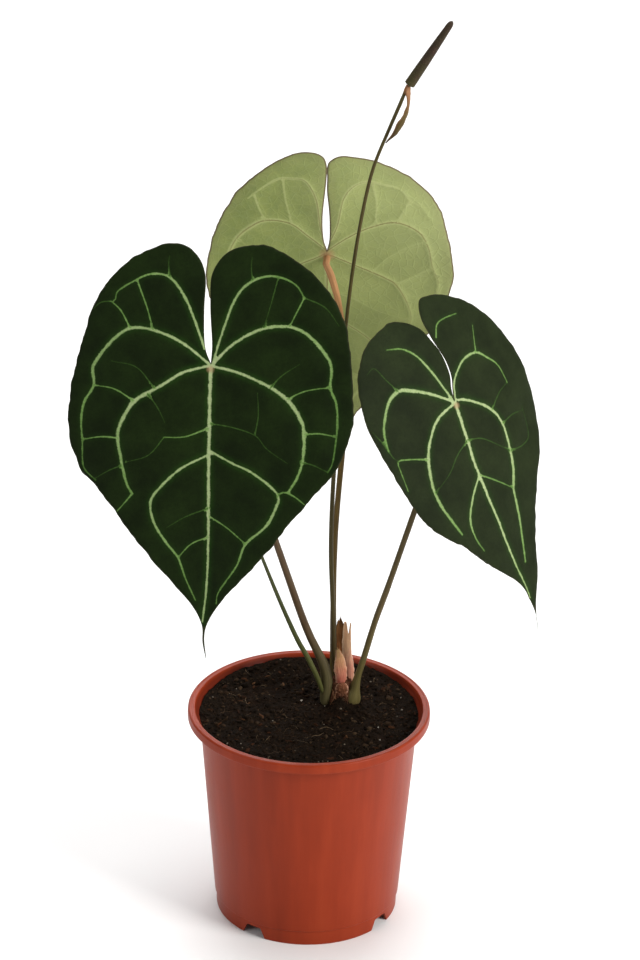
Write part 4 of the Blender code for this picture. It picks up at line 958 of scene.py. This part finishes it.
def make_mix():
    rng = random.Random(MIX_SEED)
    low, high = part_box("potting_mix")
    edge = high[0] + MIX_SPREAD
    level = high[2] - 0.0016
    foot = low[2]
    crown = (np.array(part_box("rhizome")[0]) + np.array(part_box("rhizome")[1])) / 2

    spots = []
    for i in range(1, MIX_RINGS + 1):
        for k in range(MIX_ROUND):
            angle = math.tau * k / MIX_ROUND
            radius = edge * i / MIX_RINGS
            x, y = radius * math.cos(angle), radius * math.sin(angle)
            rise = 0.0012 * math.exp(-((x - crown[0]) ** 2 + (y - crown[1]) ** 2) / 0.0004)
            rise += MOUND * math.exp(-((x - crown[0]) ** 2 + (y - crown[1] + 0.0075) ** 2) / MOUND_SPREAD ** 2)
            rise += BACK_RISE * max(0.0, 0.35 + math.sin(angle)) * (radius / edge) ** 4 / 1.35
            spots.append((x, y, level + rise + mix_height(x, y)))
    ground = kdtree.KDTree(len(spots))
    for i, (x, y, _) in enumerate(spots):
        ground.insert((x, y, 0), i)
    ground.balance()

    def lie(x, y):
        return spots[ground.find((x, y, 0))[1]][2]

    bed = list(spots)
    for radius, z in ((high[0] - MIX_SLACK, level - MIX_NECK), (high[0] * MIX_FOOT, foot)):
        bed += [(radius * math.cos(math.tau * k / MIX_ROUND), radius * math.sin(math.tau * k / MIX_ROUND), z)
                for k in range(MIX_ROUND)]
    faces = []
    for i in range(MIX_RINGS + 1):
        for k in range(MIX_ROUND):
            n = (k + 1) % MIX_ROUND
            a, b = i * MIX_ROUND, (i + 1) * MIX_ROUND
            faces.append((a + k, b + k, b + n, a + n))
    centers = [len(bed), len(bed) + 1]
    bed += [(0, 0, level + mix_height(0, 0)), (0, 0, foot)]
    for k in range(MIX_ROUND):
        n = (k + 1) % MIX_ROUND
        faces.append((centers[0], k, n))
        last = (MIX_RINGS + 1) * MIX_ROUND
        faces.append((centers[1], last + n, last + k))
    mesh = mesh_of("mix_bed", bed, faces)
    s = Shader("mix_bed", Specular_IOR_Level=0.04)
    crumb = s.noise(1300, 6, 0.75)
    color = s.ramp(crumb, (0.30, (0.0028, 0.0017, 0.0010)), (0.50, (0.0085, 0.0052, 0.0032)),
                   (0.66, (0.020, 0.0125, 0.0075)), (0.80, (0.050, 0.034, 0.022)))
    color = s.mix(s.spread(s.noise(120, 4), 0.5, 0.7, 0.0, 0.4), color, (0.016, 0.007, 0.0035))
    piece("mix_bed", mesh, [s.finish(color, s.spread(crumb, 0.3, 0.7, 0.8, 1.0),
                                     s.bump(crumb, 0.0006, 1.0, s.bump(s.noise(420, 5, 0.7), 0.0012, 0.8)))],
          "potting_mix", "potting_mix")

    def spot(reach=0.985, keep_off=0.0055):
        while True:
            angle, radius = rng.uniform(0, math.tau), edge * reach * math.sqrt(rng.random())
            x, y = radius * math.cos(angle), radius * math.sin(angle)
            if math.hypot(x - crown[0], y - crown[1]) > keep_off:
                return x, y, lie(x, y)

    def scatter(name, count, size_range, squash, jagged, colors, sink, slot="potting_mix", smooth=True, ends=0.8):
        places = [spot() for _ in range(count)]
        sizes = [rng.uniform(*size_range) * rng.uniform(0.6, 1) for _ in range(count)]
        places = [(x, y, z + sink * size) for (x, y, z), size in zip(places, sizes)]
        made = lumps(name, rng, places, sizes, squash, jagged, smooth)
        s = Shader(name, Specular_IOR_Level=0.04)
        color = s.ramp(s.attribute("shade"), *colors)
        color = s.mix(s.spread(s.noise(1500, 5, 0.75), 0.40, 0.70, 0.0, 0.7), color, [c * 0.35 for c in colors[0][1]])
        finish = s.finish(color, s.spread(s.noise(900), 0.3, 0.7, ends, 1.0),
                          s.bump(s.noise(2200, 5, 0.75), 0.0003, 0.9))
        piece(name, made, [finish], slot, "potting_mix")

    dark = ((0.0, (0.0045, 0.0028, 0.0016)), (0.5, (0.0120, 0.0070, 0.0040)), (0.85, (0.026, 0.015, 0.0085)),
            (1.0, (0.060, 0.038, 0.022)))
    scatter("mix_crumbs", 1700, (0.00040, 0.00105), ((0.6, 1.0), (0.5, 0.9)), 0.5, dark, 0.15)
    scatter("mix_clods", 190, (0.0010, 0.0021), ((0.6, 1.0), (0.45, 0.8)), 0.55, dark, 0.0)
    bark = ((0.0, (0.012, 0.0055, 0.0028)), (0.55, (0.035, 0.014, 0.0065)), (0.88, (0.055, 0.022, 0.010)),
            (1.0, (0.130, 0.066, 0.034)))
    scatter("mix_bark", 150, (0.0009, 0.0024), ((0.22, 0.5), (0.12, 0.28)), 0.6, bark, 0.15, smooth=False)
    pale = ((0.0, (0.085, 0.066, 0.048)), (0.6, (0.19, 0.155, 0.12)), (1.0, (0.46, 0.42, 0.36)))
    scatter("mix_perlite", 42, (0.00030, 0.00070), ((0.7, 1.0), (0.5, 0.9)), 0.45, pale, 0.35)

    strands = []
    for _ in range(520):
        x, y, z = spot(0.96)
        way = rng.uniform(0, math.tau)
        length = rng.uniform(0.002, 0.0085)
        curve = []
        for share in np.linspace(0, 1, 5):
            way += rng.uniform(-0.5, 0.5)
            x, y = x + math.cos(way) * length / 4, y + math.sin(way) * length / 4
            if math.hypot(x, y) > edge * 0.985:
                x, y = x * 0.97, y * 0.97
            curve.append((x, y, lie(x, y) + rng.uniform(0.0001, 0.0007) + 0.0004 * math.sin(math.pi * share)))
        strands.append((curve, rng.uniform(0.00004, 0.00009)))
    mesh = strand_mesh("mix_fibres", strands, rng)
    s = Shader("mix_fibres", Specular_IOR_Level=0.06)
    color = s.ramp(s.attribute("shade"), (0.0, (0.010, 0.0055, 0.003)), (0.5, (0.022, 0.011, 0.0055)),
                   (0.88, (0.060, 0.034, 0.017)), (1.0, (0.22, 0.155, 0.095)))
    color = s.mix(s.spread(s.noise(1600), 0.45, 0.7, 0.0, 0.6), color, (0.014, 0.008, 0.004))
    piece("mix_fibres", mesh, [s.finish(color, s.spread(s.noise(900), 0.3, 0.7, 0.7, 0.9),
                                        s.bump(s.noise(3500), 0.00005, 0.6))], "potting_mix", "potting_mix")


# ---- pot ----------------------------------------------------------------------------------------------
POT_ROUND = 256
LIP_OVERHANG = 6.0           # millimetres, as are the sizes below
RIM_WIDTH = 3.5              # flat top of the lip, as the photo shows it
LIP_HEIGHT = 4.7
LIP_SKIN = 1.3
WALL = 1.2
WALL_FOOT_RADIUS = 46.1
FOOT_STEP = 0.9
FOOT_HEIGHT = 8.0
FLOOR_HEIGHT = 6.5
FLOOR_THICKNESS = 1.6
NOTCH_COUNT = 4
NOTCH_FIRST_ANGLE = -125.0
NOTCH_HEIGHT = 5.6
NOTCH_BOTTOM_WIDTH = 13.2
NOTCH_TOP_WIDTH = 8.2
NOTCH_ROUND = 0.9            # rounding of a notch's upper corners
DRAIN_RADIUS = 3.5
DRAIN_INSET = 9.2
CUT_OVERRUN = 2.0


def eased(corners, steps=5):
    """An outline through corners of (x, y, how far back its rounding starts)."""
    outline = []
    for i, (x, y, back) in enumerate(corners):
        corner = np.array((x, y))
        if back == 0:
            outline.append(corner)
            continue
        before = np.array(corners[i - 1][:2]) - corner
        after = np.array(corners[(i + 1) % len(corners)][:2]) - corner
        start = corner + before / np.linalg.norm(before) * back
        end = corner + after / np.linalg.norm(after) * back
        for t in np.linspace(0, 1, steps):
            outline.append((1 - t) ** 2 * start + 2 * t * (1 - t) * corner + t * t * end)
    return outline


def turned(name, profile, around, center=(0, 0)):
    """Closed mesh from a profile of (radius, height) in millimetres that starts and ends on the axis."""
    spots, faces, rings = [], [], []
    for radius, z in profile:
        count = around if radius > 0 else 1
        rings.append(list(range(len(spots), len(spots) + count)))
        for k in range(count):
            angle = math.tau * k / around
            spots.append(((center[0] + radius * math.cos(angle)) * MM,
                          (center[1] + radius * math.sin(angle)) * MM, z * MM))
    for low, high in zip(rings, rings[1:]):
        for k in range(around):
            n = (k + 1) % around
            corners = [low[k % len(low)], low[n % len(low)], high[n % len(high)], high[k % len(high)]]
            corners = list(dict.fromkeys(corners))
            if len(corners) > 2:
                faces.append(corners)
    return mesh_of(name, spots, faces)


def less(mesh, cutters):
    """The mesh with the cutters' shapes taken away."""
    scene = bpy.context.scene.collection.objects
    target = bpy.data.objects.new("target", mesh)
    scene.link(target)
    made = []
    for cutter in cutters:
        tool = bpy.data.objects.new("tool", cutter)
        scene.link(tool)
        made.append(tool)
        modifier = target.modifiers.new("cut", "BOOLEAN")
        modifier.operation = "DIFFERENCE"
        modifier.solver = "EXACT"
        modifier.object = tool
    graph = bpy.context.evaluated_depsgraph_get()
    result = bpy.data.meshes.new_from_object(target.evaluated_get(graph))
    for tool in made + [target]:
        bpy.data.objects.remove(tool)
    return result


def make_pot():
    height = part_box("pot")[1][2] / MM
    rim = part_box("pot")[1][0] / MM
    foot = WALL_FOOT_RADIUS - FOOT_STEP
    wall_top = rim - LIP_OVERHANG
    lip_bottom = height - LIP_HEIGHT
    floor_top = FLOOR_HEIGHT + FLOOR_THICKNESS
    slope = (wall_top - WALL_FOOT_RADIUS) / (lip_bottom - FOOT_HEIGHT)

    def wall(z):
        return WALL_FOOT_RADIUS + slope * (z - FOOT_HEIGHT)

    profile = eased([
        (0, FLOOR_HEIGHT, 0), (foot - WALL, FLOOR_HEIGHT, 0.6), (foot - WALL, 0, 0.3), (foot, 0, 0.35),
        (foot + 0.2, FOOT_HEIGHT - 0.4, 0.15), (WALL_FOOT_RADIUS, FOOT_HEIGHT, 0.4),
        (wall(55), 55, 0), (wall(lip_bottom - 1.6), lip_bottom - 1.6, 0.5), (wall_top + 2.0, lip_bottom + 1.2, 0.6),
        (wall_top + 2.8, height - LIP_SKIN, 0.4),
        (rim - LIP_SKIN, height - LIP_SKIN, 0.35), (rim - LIP_SKIN, lip_bottom, 0.3),
        (rim, lip_bottom, 0.45), (rim, lip_bottom + 1.6, 0.2), (rim - 0.12, height - 1.4, 0.2), (rim - 0.12, height, 1.1),
        (rim - 1.5, height + 0.05, 0.25), (rim - 1.7, height - 0.12, 0.15), (rim - RIM_WIDTH, height - 0.05, 0.45),
        (rim - RIM_WIDTH - 0.9, height - 2.4, 0.5), (wall(lip_bottom - 2.6) - WALL, lip_bottom - 2.6, 0.8),
        (wall(floor_top) - WALL, floor_top, 1.0), (0, floor_top, 0)])
    body = turned("pot_shell", profile, POT_ROUND)
    cutters = []
    for k in range(NOTCH_COUNT):
        angle = math.radians(NOTCH_FIRST_ANGLE + 360 * k / NOTCH_COUNT)
        turn = Matrix.Rotation(angle, 4, "Z") @ Matrix.Scale(MM, 4)
        wide, narrow = NOTCH_BOTTOM_WIDTH / 2, NOTCH_TOP_WIDTH / 2
        section = eased([(-wide, -CUT_OVERRUN, 0), (wide, -CUT_OVERRUN, 0), (wide, 0, 0.4),
                         (narrow, NOTCH_HEIGHT, NOTCH_ROUND), (-narrow, NOTCH_HEIGHT, NOTCH_ROUND), (-wide, 0, 0.4)])
        spots = [turn @ Vector((radius, x, z)) for radius in (foot - WALL - CUT_OVERRUN, foot + CUT_OVERRUN)
                 for x, z in section]
        count = len(section)
        faces = [(i, (i + 1) % count, count + (i + 1) % count, count + i) for i in range(count)]
        faces += [tuple(range(count))[::-1], tuple(range(count, 2 * count))]
        notch = mesh_of("notch", spots, faces, smooth=False)
        drain_profile = [(0, FLOOR_HEIGHT - CUT_OVERRUN), (DRAIN_RADIUS, FLOOR_HEIGHT - CUT_OVERRUN),
                         (DRAIN_RADIUS, floor_top + CUT_OVERRUN), (0, floor_top + CUT_OVERRUN)]
        middle = Vector((math.cos(angle), math.sin(angle))) * (foot - DRAIN_INSET)
        cutters += [notch, turned("drain", drain_profile, 40, middle)]
    shell = less(body, cutters)
    shell.shade_smooth()
    shell.set_sharp_from_angle(angle=math.radians(32))
    spots = np.array([v.co for v in shell.vertices]) / MM
    away, up = np.hypot(spots[:, 0], spots[:, 1]), spots[:, 2]
    within = (away < np.minimum(wall(up) + 2.5, rim - RIM_WIDTH - 0.3)) & (up > floor_top - 0.1)
    outer = (up < lip_bottom - 1.5) & (away > wall(up) - WALL / 2)
    set_attribute(shell, "inside", (within & ~outer).astype(float))

    s = Shader("terracotta_plastic", Specular_IOR_Level=0.14)
    flow = s.noise(95, 4, 0.6, s.node("Mapping", {0: s.place, 3: (1, 1, 0.06)}).outputs[0])
    cloud = s.noise(16, 4, 0.6)
    fine = s.noise(2600, 4, 0.6)
    color = s.ramp(s.add(flow, s.spread(cloud, 0.3, 0.7, -0.10, 0.10)), (0.30, (0.215, 0.023, 0.0050)),
                   (0.50, (0.245, 0.027, 0.0062)), (0.72, (0.280, 0.034, 0.0085)))
    specks = s.spread(s.cells(260), 0.02, 0.06, 0.35, 0.0)
    color = s.mix(s.times(specks, s.spread(s.noise(120), 0.52, 0.62)), color, (0.20, 0.045, 0.022))
    scuff = s.noise(700, 5, 0.8, s.node("Mapping", {0: s.place, 3: (1, 1, 0.5)}).outputs[0])
    color = s.mix(s.spread(scuff, 0.66, 0.80, 0.0, 0.30), color, (0.36, 0.085, 0.042))
    # Painted shade: the inner wall above the mix is darkened towards deep red, mottled by noise, for the shade inside
    # the pot.
    inner_wall_painted_shade = s.times(s.attribute("inside"), s.spread(cloud, 0.3, 0.7, 0.55, 0.80))
    color = s.mix(inner_wall_painted_shade, color, (0.085, 0.010, 0.004))
    roughness = s.add(s.spread(cloud, 0.3, 0.7, 0.34, 0.44), s.spread(scuff, 0.55, 0.75, 0.0, 0.12))
    skin = s.bump(fine, 0.00004, 0.35)
    piece("pot_shell", shell, [s.finish(color, roughness, s.bump(flow, 0.0003, 0.25, skin))],
          "terracotta_plastic", "pot")


# ---- what the CAD nodes say about thin pieces -----------------------------------------------------------
def sections(node, count, inset=0.0004):
    """Level cuts through a thin node from foot to head: centres, half thicknesses, half widths, directions."""
    data = frame["nodes"][node].data
    spots = np.array([v.co for v in data.vertices])
    ends = np.array([e.vertices for e in data.edges])
    a, b = spots[ends[:, 0]], spots[ends[:, 1]]
    drop = b[:, 2] - a[:, 2]
    drop[drop == 0] = 1e-12
    centers, thin, wide, ways = [], [], [], []
    for z in np.linspace(spots[:, 2].min() + inset, spots[:, 2].max() - inset, count):
        share = (z - a[:, 2]) / drop
        hit = (share > 0) & (share < 1)
        ring = a[hit] + share[hit, None] * (b - a)[hit]
        center = (ring.min(0) + ring.max(0)) / 2
        flat = (ring - center)[:, :2]
        _, vectors = np.linalg.eigh(flat.T @ flat)
        reach = np.ptp(flat @ vectors, axis=0) / 2
        way = vectors[:, 1] * np.sign(vectors[0, 1] or 1)
        centers.append(center)
        thin.append(reach[0])
        wide.append(reach[1])
        ways.append((*way, 0))
    return np.array(centers), np.array(thin), np.array(wide), np.array(ways)


def smoothed(values, passes):
    """The values with their ends kept and the rest averaged with their neighbours."""
    values = np.array(values, float)
    for _ in range(passes):
        values[1:-1] = (values[:-2] + 2 * values[1:-1] + values[2:]) / 4
    return values


def frames_along(path, side=(1, 0, 0)):
    """Forward, side and other vectors at each point of a path, without needless twist."""
    forward = np.gradient(path, axis=0)
    forward /= np.linalg.norm(forward, axis=1)[:, None]
    side = np.array(side, float)
    sides = []
    for f in forward:
        side = side - f * (side @ f)
        side /= np.linalg.norm(side)
        sides.append(side)
    sides = np.array(sides)
    return forward, sides, np.cross(forward, sides)


# ---- stems ------------------------------------------------------------------------------------------
STEM_SIDES = 24
STEM_STEP = 0.0012           # distance between a stem's rings
GROOVE_WIDTH = 0.55          # radians


def tube(name, path, radii, groove=0.0, groove_at=0.0, rough=0.03, side=(1, 0, 0)):
    """Closed round stem along a path, with a shallow groove down one side and a slightly uneven skin."""
    row = np.column_stack([path, radii])
    row = even_steps(row, STEM_STEP)
    path, radii = row[:, :3], row[:, 3]
    _, sides, others = frames_along(path, side)
    angles = np.arange(STEM_SIDES) * math.tau / STEM_SIDES
    gone = np.concatenate([[0], np.cumsum(np.linalg.norm(np.diff(path, axis=0), axis=1))])
    spots = []
    for center, radius, s, o, length in zip(path, radii, sides, others, gone):
        for angle in angles:
            turn = (angle - groove_at + math.pi) % math.tau - math.pi
            size = 1 - groove * math.exp(-(turn / GROOVE_WIDTH) ** 2)
            ribs = noise.noise((3 * math.cos(angle), 3 * math.sin(angle), length * 60))
            skin = noise.noise((center[0] * 700 + angle, center[1] * 700, center[2] * 330))
            size += rough * (0.7 * ribs + 0.3 * skin)
            spots.append(center + (s * math.cos(angle) + o * math.sin(angle)) * radius * size)
    rings = len(path)
    faces, uvs = [], []
    girth = math.tau * float(np.mean(radii)) / STEM_SIDES
    for i in range(rings - 1):
        for k in range(STEM_SIDES):
            n = (k + 1) % STEM_SIDES
            low, high = i * STEM_SIDES, (i + 1) * STEM_SIDES
            faces.append((low + k, low + n, high + n, high + k))
            uvs += [(k * girth, gone[i]), ((k + 1) * girth, gone[i]),
                    ((k + 1) * girth, gone[i + 1]), (k * girth, gone[i + 1])]
    for ring, turn in ((0, -1), (rings - 1, 1)):
        faces.append(tuple(ring * STEM_SIDES + k for k in range(STEM_SIDES))[::turn])
        uvs += [(0.0, gone[ring])] * STEM_SIDES
    mesh = mesh_of(name, spots, faces, uvs)
    set_attribute(mesh, "from_foot", np.repeat(gone, STEM_SIDES) * 1000)
    set_attribute(mesh, "from_top", np.repeat(gone[-1] - gone, STEM_SIDES) * 1000)
    return mesh


def stem_finish(name, foot, middle, top, foot_reach, top_reach, roughness=0.42):
    """Satin stem skin with fine lengthwise streaks, changing colour near its foot and near its top."""
    s = Shader(name, Specular_IOR_Level=0.12)
    streaks = s.noise(2600, 4, 0.65, s.grain(1, 0.035, 1))
    broad = s.noise(900, 3, 0.6, s.grain(1, 0.06, 1))
    foot_share = s.spread(s.attribute("from_foot"), foot_reach * 0.35, foot_reach, 1.0, 0.0)
    top_share = s.spread(s.attribute("from_top"), top_reach * 0.45, top_reach, 1.0, 0.0)
    color = s.mix(foot_share, middle, foot)
    color = s.mix(top_share, color, top)
    dark = s.spread(broad, 0.35, 0.65, 0.0, 0.55)
    shade = s.node("Mix", {0: dark, 6: color, 7: (0.45, 0.42, 0.40, 1)}, data_type="RGBA",
                   blend_type="MULTIPLY").outputs[2]
    light = s.spread(streaks, 0.52, 0.74, 0.0, 0.40)
    color = s.mix(light, shade, [min(1, c * 2.1) for c in middle])
    dots = s.spread(s.cells(1300, "F1"), 0.05, 0.16, 0.5, 0.0)
    color = s.mix(s.times(dots, s.spread(s.noise(300), 0.5, 0.6)), color, (0.28, 0.24, 0.15))
    ridges = s.bump(streaks, 0.00012, 0.5)
    skin = s.bump(s.noise(3000, 4, 0.7), 0.00005, 0.4, ridges)
    return s.finish(color, s.spread(streaks, 0.3, 0.7, roughness - 0.06, roughness + 0.1), skin)


PETIOLE_SEAT = 4.0           # millimetres from the notch's bottom to the petiole's middle
GENICULUM = 0.0040           # length of the swollen joint at a petiole's top
GENICULUM_RADIUS = 0.00172
STEM_SLIM = 0.86             # the living stems against the CAD's eight-sided ones
FOOT_FLARE = 0.38            # how much wider a petiole's sheathing foot is
FOOT_REACH = 0.0125


def petiole_path(node, blade):
    """The petiole's centre line and radii, run on through its swollen joint into the blade."""
    centers, thin, _, _ = sections(node, 150)
    normal = np.array(blade.axes()[2])
    end = blade.place(np.zeros(1), np.array([PETIOLE_SEAT]), np.array([-0.35]))[0]
    joint = [end - normal * GENICULUM * share for share in (1.5, 1.0, 0.6, 0.3, 0.0)]
    keep = centers[:, 2] < joint[0][2] - 0.004
    path = smoothed(centers[keep], 12)
    radii = smoothed(thin[keep] * STEM_SLIM, 6)
    above_foot = path[:, 2] - path[0, 2]
    radii *= 1 + FOOT_FLARE * np.exp(-(above_foot / FOOT_REACH) ** 2)
    swelling = [GENICULUM_RADIUS * size for size in (0.92, 1.0, 0.96, 0.92, 1.05)]
    curve = spline(np.column_stack([np.vstack([path[::6], joint]), np.append(radii[::6], swelling)]), 8)
    return curve[:, :3], curve[:, 3]


def make_stems():
    left = stem_finish("petiole_left", (0.084, 0.074, 0.032), (0.088, 0.055, 0.029), (0.100, 0.062, 0.029),
                       55, 30)
    right = stem_finish("petiole_right", (0.122, 0.102, 0.036), (0.100, 0.073, 0.030), (0.105, 0.065, 0.030),
                        60, 30)
    back = stem_finish("petiole_back", (0.105, 0.080, 0.026), (0.128, 0.082, 0.024), (0.480, 0.245, 0.115),
                       60, 62)
    for name, blade, finish, groove_at in (("leaf_left", LEAF_LEFT, left, 1.9),
                                           ("leaf_right", LEAF_RIGHT, right, 1.2),
                                           ("leaf_back", LEAF_BACK, back, 4.5)):
        node = name + "_petiole"
        path, radii = petiole_path(node, blade)
        mesh = tube(name + "_stem", path, radii, 0.16, groove_at)
        piece(name + "_stem", mesh, [finish], "petiole", node)

    dark = stem_finish("stalk_dark", (0.070, 0.050, 0.020), (0.066, 0.052, 0.016), (0.380, 0.165, 0.065), 60, 5)
    green = stem_finish("stalk_green", (0.085, 0.088, 0.028), (0.050, 0.058, 0.020), (0.090, 0.098, 0.030),
                        45, 20, 0.36)
    for node, finish, slot in (("flower_stalk", dark, "flower_stalk"), ("young_stalk", green, "young_stalk")):
        centers, thin, _, _ = sections(node, 170)
        path, radii = smoothed(centers, 14), smoothed(thin * 0.93, 8)
        if node == "flower_stalk":
            radii *= 1 + 0.55 * np.exp(-((path[-1, 2] - path[:, 2] - 0.0012) / 0.0016) ** 2)
        mesh = tube(node + "_skin", path, radii, 0.05, 2.0, 0.045)
        piece(node + "_skin", mesh, [finish], slot, node)


# ---- stage ----------------------------------------------------------------------------------------
def make_stage():
    size = 3.0
    mesh = mesh_of("floor", [(-size, -size, 0), (size, -size, 0), (size, size, 0), (-size, size, 0)],
                   [(0, 1, 2, 3)], smooth=False)
    s = Shader("floor")
    color = s.ramp(s.noise(3.0, 3), (0.3, (0.86, 0.86, 0.86)), (0.7, (0.88, 0.88, 0.88)))
    mesh.materials.append(s.finish(color, s.spread(s.noise(5.0), 0.3, 0.7, 0.80, 0.86),
                                   s.bump(s.noise(300), 0.0001, 0.1)))
    floor = bpy.data.objects.new("floor", mesh)
    bpy.context.scene.collection.objects.link(floor)

    world = bpy.data.worlds.new("studio")
    world.use_nodes = True
    world.node_tree.nodes["Background"].inputs[0].default_value = (1.0, 1.0, 1.0, 1)
    world.node_tree.nodes["Background"].inputs[1].default_value = 0.24
    bpy.context.scene.world = world


def add_light(name, place, target, size, power, color=(1, 1, 1)):
    data = bpy.data.lights.new(name, "AREA")
    data.shape = "RECTANGLE"
    data.size, data.size_y = size
    data.energy = power
    data.color = color
    made = bpy.data.objects.new(name, data)
    made.location = place
    made.rotation_euler = (Vector(target) - Vector(place)).to_track_quat("-Z", "Y").to_euler()
    bpy.context.scene.collection.objects.link(made)


def make_lights():
    middle = (0, 0, 0.25)
    add_light("key", (1.5, -0.9, 1.0), middle, (0.8, 1.1), 40, (1.0, 0.985, 0.96))
    add_light("fill", (-1.5, -0.9, 0.7), middle, (0.9, 1.1), 7.5)
    add_light("far", (0.0, 2.6, 1.1), (0, 1.5, 0), (2.4, 0.9), 30)
    add_light("top", (0.0, 0.5, 1.9), (0, 0, 0), (1.6, 1.6), 34)


CAMERA_PLACE = (0.0037, -1.9292, 1.1675)
CAMERA_PITCH = 25.81         # degrees below the horizon
CAMERA_ROLL = 0.89
CAMERA_LENS = 166.6


def make_camera():
    data = bpy.data.cameras.new("camera")
    data.lens = CAMERA_LENS
    camera = bpy.data.objects.new("camera", data)
    pitch = Matrix.Rotation(math.radians(90 - CAMERA_PITCH), 4, "X")
    roll = Matrix.Rotation(math.radians(CAMERA_ROLL), 4, "Z")
    camera.matrix_world = Matrix.Translation(CAMERA_PLACE) @ pitch @ roll
    bpy.context.scene.collection.objects.link(camera)
    bpy.context.scene.camera = camera
    bpy.context.scene.view_settings.view_transform = "Standard"


make_camera()
make_stage()
make_lights()
make_blades()
make_stems()
make_flowers()
make_cataphylls()
make_rhizome()
make_mix()
make_pot()
